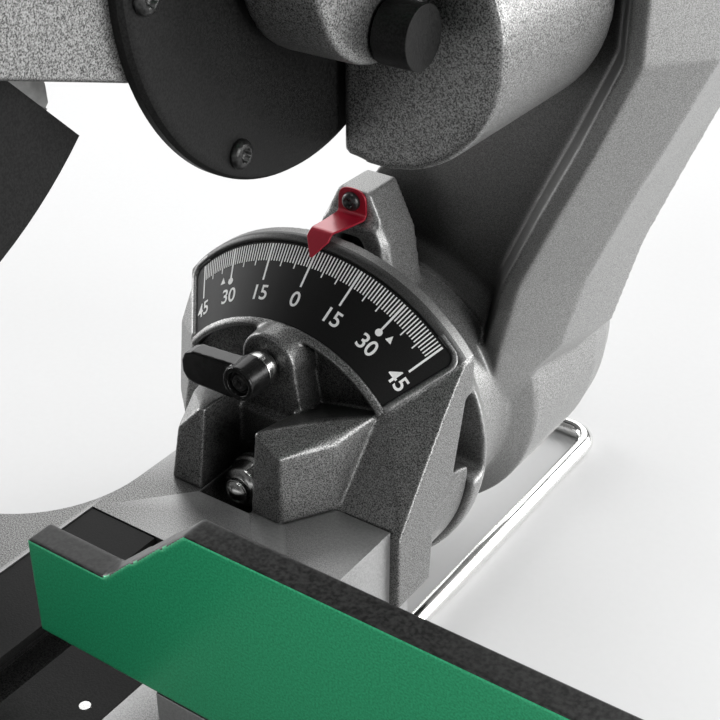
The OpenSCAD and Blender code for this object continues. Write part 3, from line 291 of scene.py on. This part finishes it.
for name, obj in frame["nodes"].items():
    obj.data.materials.clear()
    obj.data.materials.append(material_of(name))
    round_edges(obj, EDGES.get(name, EDGE_DEFAULT))


# Pieces

def placed(name, data):
    """An object of its own for a mesh, curve, light or camera, in the scene."""
    obj = bpy.data.objects.new(name, data)
    bpy.context.collection.objects.link(obj)
    return obj


def link(name, mesh, body, material):
    """A piece in one material, which rides on a body."""
    obj = placed(name, mesh)
    mesh.materials.clear()
    mesh.materials.append(material)
    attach(obj, body)
    return obj


def shade(mesh, smooth):
    """Shades all faces of a mesh smooth or flat."""
    for polygon in mesh.polygons:
        polygon.use_smooth = smooth


def shown_mesh(obj):
    """A mesh of an object as its modifiers or its curve show it."""
    return bpy.data.meshes.new_from_object(obj.evaluated_get(bpy.context.evaluated_depsgraph_get()))


def curve_mesh(curve):
    """A mesh of a curve or a text."""
    holder = placed(curve.name, curve)
    bpy.context.view_layer.update()
    mesh = shown_mesh(holder)
    bpy.data.objects.remove(holder)
    return mesh


def piece(name, verts, faces, body, material, smooth=True):
    """A piece from vertices in metres and faces, which are turned outward."""
    mesh = bpy.data.meshes.new(name)
    mesh.from_pydata([tuple(v) for v in verts], [], faces)
    shape = bmesh.new()
    shape.from_mesh(mesh)
    bmesh.ops.recalc_face_normals(shape, faces=shape.faces)
    shape.to_mesh(mesh)
    shape.free()
    shade(mesh, smooth)
    return link(name, mesh, body, material)


def bake(obj):
    """Puts the result of an object's modifiers into its mesh."""
    mesh = shown_mesh(obj)
    obj.modifiers.clear()
    obj.data = mesh
    shade(mesh, True)


def smoothed(obj, name, passes):
    """Adds passes of smoothing to an object."""
    modifier = obj.modifiers.new(name, "SMOOTH")
    modifier.factor = 0.5
    modifier.iterations = passes
    return modifier


def soften(node, voxel, passes, keep=1.0, calm=None, calm_passes=0):
    """A casting with rounded edges and fillets, made from a solid and standing for it.

    The voxel is in millimetres. Where the test calm holds, more passes follow, and keep is the share of
    the faces that stays.
    """
    obj = link(node + "_cast", frame["nodes"][node].data.copy(), BODIES[node],
               material_of(node))
    weld(obj)
    remesh = obj.modifiers.new("grid", "REMESH")
    remesh.mode = "VOXEL"
    remesh.voxel_size = voxel * MM
    smoothed(obj, "soft", passes)
    bake(obj)
    if calm:
        group = obj.vertex_groups.new(name="calm")
        group.add([v.index for v in obj.data.vertices if calm(v.co / MM - PIVOT)], 1.0, "REPLACE")
        smoothed(obj, "calm", calm_passes).vertex_group = "calm"
    if keep < 1:
        thin = obj.modifiers.new("thin", "DECIMATE")
        thin.ratio = keep
    bake(obj)
    obj.vertex_groups.clear()
    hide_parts(node)
    return obj


def paint(obj, material, where):
    """Gives a second material to the faces of a piece that lie where a test says."""
    obj.data.materials.append(material)
    index = len(obj.data.materials) - 1
    for polygon in obj.data.polygons:
        if where(polygon.center / MM, polygon.normal):
            polygon.material_index = index


def ring(centre, axis, r, steps, lobe=0.0):
    """Points of a ring round an axis, in metres, with six lobes that stand out by a share of r."""
    side = axis.orthogonal().normalized()
    other = axis.cross(side)
    points = []
    for k in range(steps):
        a = 2 * math.pi * k / steps
        reach = r * (1 + lobe * math.cos(6 * a))
        points.append((centre + (side * math.cos(a) + other * math.sin(a)) * reach) * MM)
    return points


def tube(verts, faces, rows):
    """Adds closed rows of points, the faces between them and the two ends."""
    start, n = len(verts), len(rows[0])
    for row in rows:
        verts.extend(row)
    for i in range(len(rows) - 1):
        a, b = start + i * n, start + (i + 1) * n
        faces += [[a + k, a + (k + 1) % n, b + (k + 1) % n, b + k] for k in range(n)]
    last = start + (len(rows) - 1) * n
    faces += [list(range(start, start + n)), list(range(last, last + n))]


def lathe(verts, faces, profile, axis, origin, steps=48):
    """Adds a profile of (radius, along) points turned round an axis."""
    axis = Vector(axis)
    tube(verts, faces, [ring(origin + axis * along, axis, r, steps) for r, along in profile])


# Rings of a screw head, from its socket outward: shares of radius and height, and depth of the lobes
HEAD = [(0.42, 0.35, 0.16), (0.46, 0.98, 0.16), (0.56, 1.0, 0), (0.78, 0.86, 0), (0.93, 0.6, 0),
        (1.0, 0.3, 0), (1.0, 0.0, 0)]


def screw_heads(name, body, centres, axis, r, height):
    """Round screw heads with a six-lobed socket, on the faces that their centres lie on."""
    axis = Vector(axis)
    verts, faces = [], []
    for centre in centres:
        tube(verts, faces, [ring(centre + axis * height * up, axis, r * share, 36, lobe)
                            for share, up, lobe in HEAD])
    return piece(name, verts, faces, body, DARK_STEEL)


# Castings and grips with soft edges

def cheek(p):
    """The housing's sloping cheeks, flanks and the tops of its blocks, away from the label."""
    blocks, flank, slant = -21.5, 47, 0.72
    return p.y < blocks or abs(p.x) > flank and p.z < abs(p.x) * slant


def on_rim(c, n):
    """The rim over the label, between its ends."""
    inside, end = 75.7, 0.63
    p = c - PIVOT
    r = math.hypot(p.x, p.z)
    return r > inside and p.z > r * end


def on_hub(c, n):
    """Faces of the arm that take its lit copy: the hub with the pointer's bracket, and the faces that don't
    look to the front. The faces that look to the front keep the copy with deep painted shade.
    """
    hub_end, frontal = 32, -0.35
    return n.y > frontal or c.y < PIVOT.y + hub_end


housing = soften("bevel_housing", 0.55, 7, keep=0.45, calm=cheek, calm_passes=10)
paint(housing, RIM, on_rim)
arm = soften("bevel_arm", 1.0, 7, keep=0.35)
# The arm's faces that look to the front keep deep painted shade; the rest take the lit copy.
paint(arm, ARM_LIT, on_hub)
soften("stop_lever", 0.4, 6, keep=0.5)
soften("slide_bracket", 1.3, 8, keep=0.6)
soften("carry_handle", 1.1, 30)
trigger_low, trigger_high = (Vector(corner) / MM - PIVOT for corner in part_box("trigger"))


def off_trigger(p):
    """The handle away from the trigger, whose slot keeps its room."""
    room = 9
    return any(v < a - room or v > b + room for a, v, b in zip(trigger_low, p, trigger_high))


def on_grip(c, n):
    """The handle's two halves, away from the seam between them and from its root."""
    seam, root = 3, 250
    return abs(c.x) > seam and c.y < HINGE.y - root


def off_front(c, n):
    """All of a fence but its front, which alone is painted green."""
    return n.y > -0.6


handle = soften("main_handle", 1.1, 3, calm=off_trigger, calm_passes=42)
paint(handle, RUBBER, on_grip)
soften("battery", 1.3, 14, keep=0.5)
soften("motor_housing", 1.2, 10, keep=0.5)
for side in ("right", "left"):
    fence = soften("upper_fence_" + side, 1.0, 5, keep=0.4)
    paint(fence, BARE, off_front)


# The scale's print

# Heights over the label between which its marks lie
INK_LOW = 0.02
INK_HIGH = 0.07


def on_label(theta, depth, lift):
    """A point of the cone, by angle from straight up and depth down the slope, in metres."""
    a = math.radians(theta)
    run = depth * SLOPE
    up = lift * SLOPE
    r = SCALE_R - run + up
    return (PIVOT + Vector((r * math.sin(a), -run - up, r * math.cos(a)))) * MM


def turn_for(width, depth):
    """The angle in degrees that a width takes up at a depth down the slope."""
    return math.degrees(width / (SCALE_R - depth * SLOPE))


def prism(verts, faces, low, high):
    """Adds a solid between two outlines."""
    start, n = len(verts), len(low)
    verts.extend(low + high)
    faces.append([start + n + i for i in range(n)])
    faces.append([start + i for i in reversed(range(n))])
    for i in range(n):
        j = (i + 1) % n
        faces.append([start + i, start + j, start + n + j, start + n + i])


def prints():
    """Ticks of one degree, and the dots and arrows beside the two stops."""
    dot, dot_r, dot_depth = 30, 1.35, 13.2
    arrow, arrow_tip, arrow_foot = 33.9, 10.6, 13.3
    verts, faces = [], []

    def mark(corners):
        prism(verts, faces, *[[on_label(t, d, lift) for t, d in corners] for lift in (INK_LOW, INK_HIGH)])

    for tick in range(MARKS[0], MARKS[-1] + 1):
        numbered = tick in MARKS
        depth = 14.3 if numbered else 8.6 if tick % 5 == 0 else 6.7
        half = 0.4 if numbered else 0.24
        a, b = turn_for(half, 0), turn_for(half, depth)
        mark([(tick - a, 0), (tick + a, 0), (tick + b, depth), (tick - b, depth)])
    for side in (-1, 1):
        mark([(side * dot + turn_for(dot_r, dot_depth) * math.cos(t), dot_depth + dot_r * math.sin(t))
              for t in [2 * math.pi * i / 20 for i in range(20)]])
        w = turn_for(dot_r, 12)
        mark([(side * arrow - w, arrow_foot), (side * arrow + w, arrow_foot), (side * arrow, arrow_tip)])
    piece("scale_ticks", verts, faces, "table", WHITE, smooth=False)


def label_ends():
    """The raised rim, where it turns round the two ends of the label."""
    # Angle of the label's ends, and the rim's depths: along the top, its turn and its lower end
    end, rim, turn, foot = 51.1, -2.4, 5.0, 29.0
    section = [(-1.5, -0.5), (-1.5, 0.3), (-1.0, 1.1), (0, 1.45), (1.0, 1.1), (1.5, 0.3), (1.5, -0.5)]
    path = [(12 - i, rim) for i in range(7)]
    for i in range(13):
        a = math.pi / 2 * i / 12
        path.append((turn - turn * math.sin(a), rim + turn - turn * math.cos(a)))
    path += [(0, rim + turn + (foot - rim - turn) * (i + 1) / 10) for i in range(10)]
    verts, faces = [], []
    for side in (-1, 1):
        rows = []
        for i, (u, v) in enumerate(path):
            before, after = path[max(i - 1, 0)], path[min(i + 1, len(path) - 1)]
            along = (Vector(after) - Vector(before)).normalized()
            row = []
            for across, lift in section:
                x, depth = u - along.y * across, v + along.x * across
                row.append(on_label(side * (end - turn_for(x, depth)), depth, lift))
            rows.append(row)
        tube(verts, faces, rows)
    piece("scale_rim_ends", verts, faces, "table", CASTING)


def numeral(name, text, size, bold, place, body, material):
    """A flat number, whose points in millimetres round its centre a function puts in place."""
    curve = bpy.data.curves.new("digits", "FONT")
    curve.body = text
    curve.size = size
    curve.offset = bold
    curve.align_x = "CENTER"
    curve.align_y = "CENTER"
    mesh = curve_mesh(curve)
    shape = bmesh.new()
    shape.from_mesh(mesh)
    bmesh.ops.triangulate(shape, faces=shape.faces)
    bmesh.ops.subdivide_edges(shape, edges=shape.edges, cuts=1)
    for v in shape.verts:
        v.co = place(v.co.x, v.co.y)
    shape.to_mesh(mesh)
    shape.free()
    link(name, mesh, body, material)


def bevel_numeral(mark):
    """The number of a mark of the bevel scale, bent to the cone."""
    size, bold, middle = 7.9, 0.11, 19.3

    def place(x, y):
        depth = middle - y
        return on_label(mark + turn_for(x, depth), depth, INK_HIGH)

    numeral(f"bevel_numeral_{mark + 45}", str(abs(mark)), size, bold, place, "table", WHITE)


prints()
label_ends()
for mark in MARKS:
    bevel_numeral(mark)


# The mitre scale's print, on the plate in front of the turntable

def mitre_prints():
    """Ticks of one degree with their numbers, on the flat plate."""
    low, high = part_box("mitre_scale_plate")
    top = high[2] / MM
    outer = -low[1] / MM
    ink_low, ink_high = top + 0.01, top + 0.05
    start = outer - 18
    size, bold, middle = 6, 0.06, 5.4
    verts, faces = [], []
    for tick in range(-46, 47):
        a = math.radians(tick)
        length = 7.5 if tick % 15 == 0 else 5.5 if tick % 5 == 0 else 3.5
        along = Vector((math.sin(a), -math.cos(a), 0))
        across = Vector((math.cos(a), math.sin(a), 0)) * (0.3 if tick % 5 == 0 else 0.2)
        ends = [along * start, along * (start + length)]
        corners = [ends[0] - across, ends[1] - across, ends[1] + across, ends[0] + across]
        prism(verts, faces, *[[(c + Vector((0, 0, z))) * MM for c in corners] for z in (ink_low, ink_high)])
    piece("mitre_ticks", verts, faces, "base", BLACK, smooth=False)
    for mark in MARKS:
        turn = Matrix.Rotation(math.radians(mark), 3, "Z")
        numeral(f"mitre_numeral_{mark + 45}", str(abs(mark)), size, bold,
                lambda x, y: (turn @ Vector((x, y - outer + middle, ink_high))) * MM, "base", BLACK)


mitre_prints()


# Red pointer, bent from sheet

SHEET = 0.9
# Its bends, as (y, z, half width) from the pivot
POINTER = [(21.7, 91, 0), (21.7, 80.6, 6.1), (12.3, 81.1, 5.4), (3.1, 82, 4.6), (0.4, 79.6, 4.7),
           (-4.1, 74.2, 0.3)]


def rounded(path, radius, steps=5):
    """A path of (y, z) points with its corners rounded."""
    points = [path[0]]
    for before, corner, after in zip(path, path[1:], path[2:]):
        a, b = (before - corner).normalized(), (after - corner).normalized()
        cut = min(radius, (before - corner).length * 0.4, (after - corner).length * 0.4)
        start, end = corner + a * cut, corner + b * cut
        for i in range(steps + 1):
            t = i / steps
            points.append(start * (1 - t) ** 2 + corner * 2 * t * (1 - t) + end * t * t)
    return points + [path[-1]]


def pointer():
    """The bent sheet, with a rounded tab behind the screw and a narrow tip at the scale."""
    tab_r, tab_z, tab_square = 6.1, 84.9, 2.8
    tab_front, bend = 20, 1.6
    corners = [Vector((y, z)) for y, z, w in POINTER]
    path = [Vector((corners[0].x, tab_z + tab_r * math.cos(math.pi / 2 * i / 8))) for i in range(8)]
    path += rounded([Vector((corners[0].x, tab_z))] + corners[1:], bend)

    def half_width(p):
        if p.x > tab_front:
            rise = min(max(p.y - tab_z, 0) / tab_r, 0.999)
            return tab_r * (1 - rise ** tab_square) ** (1 / tab_square)
        for (y0, z0, w0), (y1, z1, w1) in zip(POINTER[1:], POINTER[2:]):
            if y1 <= p.x <= y0:
                return w1 + (w0 - w1) * (p.x - y1) / (y0 - y1)
        return POINTER[1][2]

    columns = [-1, -0.5, 0, 0.5, 1]
    verts, faces = [], []
    for i, p in enumerate(path):
        along = (path[min(i + 1, len(path) - 1)] - path[max(i - 1, 0)]).normalized()
        inner = Vector((-along.y, along.x))
        inner = inner if inner.x > 0 or inner.y < 0 else -inner
        w = half_width(p)
        for q in (p, p + inner * SHEET):
            verts.extend((PIVOT + Vector((w * c, q.x, q.y))) * MM for c in columns)
    n = len(columns)
    for i in range(len(path) - 1):
        a, b = i * 2 * n, (i + 1) * 2 * n
        for k in range(n - 1):
            faces.append([a + k, a + k + 1, b + k + 1, b + k])
            faces.append([a + n + k, b + n + k, b + n + k + 1, a + n + k + 1])
        faces.append([a, b, b + n, a + n])
        faces.append([a + n - 1, a + 2 * n - 1, b + 2 * n - 1, b + n - 1])
    for a in (0, (len(path) - 1) * 2 * n):
        faces.append([a + k for k in range(n)] + [a + n + k for k in reversed(range(n))])
    obj = piece("pointer_sheet", verts, faces, "arm", RED)
    round_edges(obj, 0.22, angle=40, segments=2)
    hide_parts("bevel_pointer")


pointer()


# Screws and the nut of the bevel pivot

# The pointer's screw sits on the tab of the sheet, this high over the pivot
POINTER_SCREW = 86
pointer_seat = PIVOT + Vector((0, POINTER[0][0], POINTER_SCREW))
pointer_head = screw_heads("pointer_screw_head", "arm", [pointer_seat], FRONT, 3.6, 2.5)
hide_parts("pointer_screw")
# The stop lever's screw sits this far behind the lever's front
STOP_SINK = 2.2
stop_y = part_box("stop_lever")[0][1] / MM + STOP_SINK
stop_seat = Vector((0, stop_y, JOINTS["bevel_stop_turn"]["pos_m"][2] / MM))
stop_head = screw_heads("stop_screw_head", "bevel_stop", [stop_seat], FRONT, 3.6, 1.7)
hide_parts("stop_lever_screw")


def cover_screws():
    """Six screws round the hinge cover."""
    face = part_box("hinge_cover")[1][0] / MM
    circle, first = 60.5, -7.7
    centres = []
    for k in range(6):
        a = math.radians(60 * k + first) + RAISED
        centres.append(Vector((face, HINGE.y + circle * math.cos(a), HINGE.z + circle * math.sin(a))))
    heads = screw_heads("cover_screw_heads", "head", centres, RIGHT, 4.3, 2.4)
    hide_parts("hinge_cover_screws")


def pivot_nut():
    """Flanged nut with its washer and the stud's rounded end, in the slot of the housing."""
    profile = [(5.1, 39.1), (9.8, 39.1), (9.8, 41.5), (9.2, 42.0), (8.1, 42.2), (8.1, 46.4),
               (7.2, 48.0), (5.4, 48.5), (5.3, 49.2), (4.7, 49.4), (4.9, 49.9), (4.5, 50.3),
               (4.7, 50.8), (4.4, 51.4), (3.4, 52.4), (1.8, 53.1), (0.3, 53.3)]
    verts, faces = [], []
    lathe(verts, faces, profile, FRONT, PIVOT)
    nut = piece("pivot_nut_domed", verts, faces, "table", STEEL)
    round_edges(nut, 0.0)
    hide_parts("bevel_pivot_nut")


cover_screws()
pivot_nut()


# Saw blade with expansion slots and hard tips

def blade():
    """The blade's plate with gullets, bore and slots, and its tips, which are wider than the plate."""
    low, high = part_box("saw_blade")
    radius = (high[2] - low[2]) / 2 / MM
    half, tip_half, bore = 0.9, 1.2, 8
    teeth, slots = 48, 6
    slot_half = math.radians(0.35)
    step = 2 * math.pi / teeth
    curve = bpy.data.curves.new("blade", "CURVE")
    curve.dimensions = "2D"
    curve.fill_mode = "BOTH"
    curve.extrude = half * MM

    def outline(points):
        spline = curve.splines.new("POLY")
        spline.points.add(len(points) - 1)
        for point, (r, a) in zip(spline.points, points):
            point.co = (r * math.cos(a) * MM, r * math.sin(a) * MM, 0, 1)
        spline.use_cyclic_u = True

    tooth = [(radius - 0.4, 0.04), (radius - 0.7, 0.3), (radius - 4, 0.5), (radius - 8.4, 0.7),
             (radius - 9.6, 0.82), (radius - 8.4, 0.95), (radius - 5, 1.0)]
    outline([(r, (i + f) * step) for i in range(teeth) for r, f in tooth])
    outline([(bore, 2 * math.pi * k / 40) for k in range(40)])
    for k in range(slots):
        first = math.radians(60 * k + 20)
        line = [(radius - 9 - 3 * i, first + math.radians(1.4 * i)) for i in range(7)]
        outline([(r, a - slot_half) for r, a in line] + [(r, a + slot_half) for r, a in reversed(line)])
    mesh = curve_mesh(curve)
    place = Matrix.Translation(BLADE_AXIS * MM) @ Matrix.Rotation(math.radians(90), 4, "Y")
    mesh.transform(place)
    shade(mesh, False)
    plate = link("blade_plate", mesh, "blade", BLADE)
    weld(plate)
    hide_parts("saw_blade")
    tip = [(radius - 5, 0), (radius, 0.04), (radius - 0.3, 0.2), (radius - 5, 0.16)]
    verts, faces = [], []
    for i in range(teeth):
        corners = [(r * math.cos((i + f) * step), r * math.sin((i + f) * step)) for r, f in tip]
        prism(verts, faces, *[[place @ (Vector((u, v, w)) * MM) for u, v in corners]
                              for w in (-tip_half, tip_half)])
    piece("blade_tips", verts, faces, "blade", CARBIDE, smooth=False)


blade()


# Motor, belt cover and battery

def on_head(axis, x, y, z):
    """A point of the raised head, given from one of its axes as the head stands in the cut."""
    c, s = math.cos(RAISED), math.sin(RAISED)
    return Vector((x, axis.y + y * c - z * s, axis.z + y * s + z * c))


def round_axis(axis, x, r, angles):
    """Points of the raised head on a circle round one of its axes, by angles in degrees."""
    return [on_head(axis, x, r * math.cos(a), r * math.sin(a)) for a in map(math.radians, angles)]


def head_boxes(name, axis, boxes, body, material, edge):
    """Boxes on the raised head, by their limits along x, y and z from an axis."""
    verts, faces = [], []
    for xs, ys, zs in boxes:
        low, high = [[on_head(axis, x, y, z) * MM for y, z in
                      ((ys[0], zs[0]), (ys[1], zs[0]), (ys[1], zs[1]), (ys[0], zs[1]))] for x in xs]
        prism(verts, faces, low, high)
    round_edges(piece(name, verts, faces, body, material), edge)


def motor_details():
    """Ribs round the motor, screws of its end and of the belt cover, ribs and latch of the battery."""
    low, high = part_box("motor_housing")
    x0, x1 = low[0] / MM, high[0] / MM
    end_low, end_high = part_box("motor_end_cover")
    r = (end_high[1] - end_low[1]) / 2 / MM
    rings, first, last = 6, 10, 13
    verts, faces = [], []
    for k in range(rings):
        x = x0 + first + k * (x1 - x0 - first - last) / (rings - 1)
        lathe(verts, faces, [(r - 2, x), (r + 1, x + 0.7), (r + 1, x + 2.3), (r - 2, x + 3)],
              RIGHT, Vector((0, MOTOR_AXIS.y, MOTOR_AXIS.z)), 72)
    round_edges(piece("motor_ribs", verts, faces, "head", GREEN), 0.3)
    screws = round_axis(MOTOR_AXIS, end_high[0] / MM, r - 5, (45, 135, 225, 315))
    screw_heads("motor_screws", "head", screws, RIGHT, 2.8, 1.6)
    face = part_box("belt_cover")[1][0] / MM
    screws = round_axis(BLADE_AXIS, face, 26, (200, 300)) + round_axis(MOTOR_AXIS, face, 22, (60, 160))
    screw_heads("belt_cover_screws", "head", screws, RIGHT, 3.0, 1.6)
    top, side, half = r + 6, 44, 0.9
    ribs = [((x0 + 14, x1 - 6), (s * side - half, s * side + half), (top + z, top + z + 3))
            for s in (-1, 1) for z in (22, 29, 36, 43)]
    head_boxes("battery_ribs", MOTOR_AXIS, ribs, "battery_pack", BLACK, 0.5)
    latch = [((x0 + 26, x1 - 18), (-46.4, -43), (top + 48, top + 58))]
    head_boxes("battery_latch", MOTOR_AXIS, latch, "battery_pack", GLOSS, 1.0)


motor_details()


# Stage, light and camera

def pale_floor():
    """A plain floor that takes the saw's shadow."""
    mesh = bpy.data.meshes.new("floor")
    s = 12.0
    mesh.from_pydata([(-s, -s, 0), (s, -s, 0), (s, s, 0), (-s, s, 0)], [], [(0, 1, 2, 3)])
    floor = placed("floor", mesh)
    material, shader = new_material("floor")
    colour = ramp(material, noise(material, 300, 2.0), [(0.3, 0.62), (0.7, 0.63)])
    material.node_tree.links.new(colour, shader.inputs["Base Color"])
    shader.inputs["Roughness"].default_value = 0.6
    mesh.materials.append(material)


def studio():
    """Soft light from all round; the camera and reflections see a pale wall under a darker ceiling."""
    world = bpy.data.worlds.new("studio")
    bpy.context.scene.world = world
    world.use_nodes = True
    nodes, links = world.node_tree.nodes, world.node_tree.links
    nodes.clear()
    out = nodes.new("ShaderNodeOutputWorld")
    mix = nodes.new("ShaderNodeMixShader")
    path = nodes.new("ShaderNodeLightPath")
    soft = nodes.new("ShaderNodeBackground")
    soft.inputs[0].default_value = (0.96, 0.98, 1, 1)
    soft.inputs[1].default_value = 0.2
    seen = nodes.new("ShaderNodeBackground")
    towards = nodes.new("ShaderNodeTexCoord")
    height = nodes.new("ShaderNodeSeparateXYZ")
    room = nodes.new("ShaderNodeValToRGB")
    wall, ceiling = room.color_ramp.elements
    wall.position, wall.color = 0.14, (0.94, 0.945, 0.945, 1)
    ceiling.position, ceiling.color = 0.32, (0.16, 0.16, 0.16, 1)
    links.new(towards.outputs["Generated"], height.inputs[0])
    links.new(height.outputs["Z"], room.inputs[0])
    links.new(room.outputs[0], seen.inputs[0])
    shows = path.outputs["Is Camera Ray"]
    for ray in ("Is Glossy Ray", "Is Transmission Ray"):
        either = nodes.new("ShaderNodeMath")
        either.operation = "MAXIMUM"
        links.new(shows, either.inputs[0])
        links.new(path.outputs[ray], either.inputs[1])
        shows = either.outputs[0]
    links.new(shows, mix.inputs[0])
    links.new(soft.outputs[0], mix.inputs[1])
    links.new(seen.outputs[0], mix.inputs[2])
    links.new(mix.outputs[0], out.inputs[0])


def sun(name, towards, strength, angle):
    """A far soft light, by the direction in which it stands and the angle that it fills."""
    light = bpy.data.lights.new(name, "SUN")
    light.energy = strength
    light.angle = math.radians(angle)
    obj = placed(name, light)
    obj.rotation_euler = Vector(towards).to_track_quat("Z", "Y").to_euler()


pale_floor()
studio()
sun("right", (1.2, -0.14, 0.28), 2.0, 34)
sun("rear_right", (0.9, 0.92, 0.26), 1.8, 28)
sun("rear_top", (0.34, 0.75, 0.62), 2.0, 32)
sun("rear_left", (-0.5, 0.7, 0.52), 0.9, 42)
sun("left", (-1.2, 0.05, 0.3), 1.5, 28)
sun("top", (0.1, -0.35, 1.4), 1.4, 30)

# The camera, fitted to the photograph by the scale's tick circle and the bevel axis
camera = bpy.data.cameras.new("camera")
camera.sensor_width = 36
camera.lens = 68.4475
camera.clip_start = 0.01
camera_object = placed("camera", camera)
camera_object.location = (0.25839, -0.19230, 0.39578)
back = Vector((0.4833, -0.7018, 0.5234))
camera_object.rotation_euler = back.to_track_quat("Z", "Y").to_euler()
bpy.context.scene.camera = camera_object
bpy.context.scene.view_settings.view_transform = "Standard"
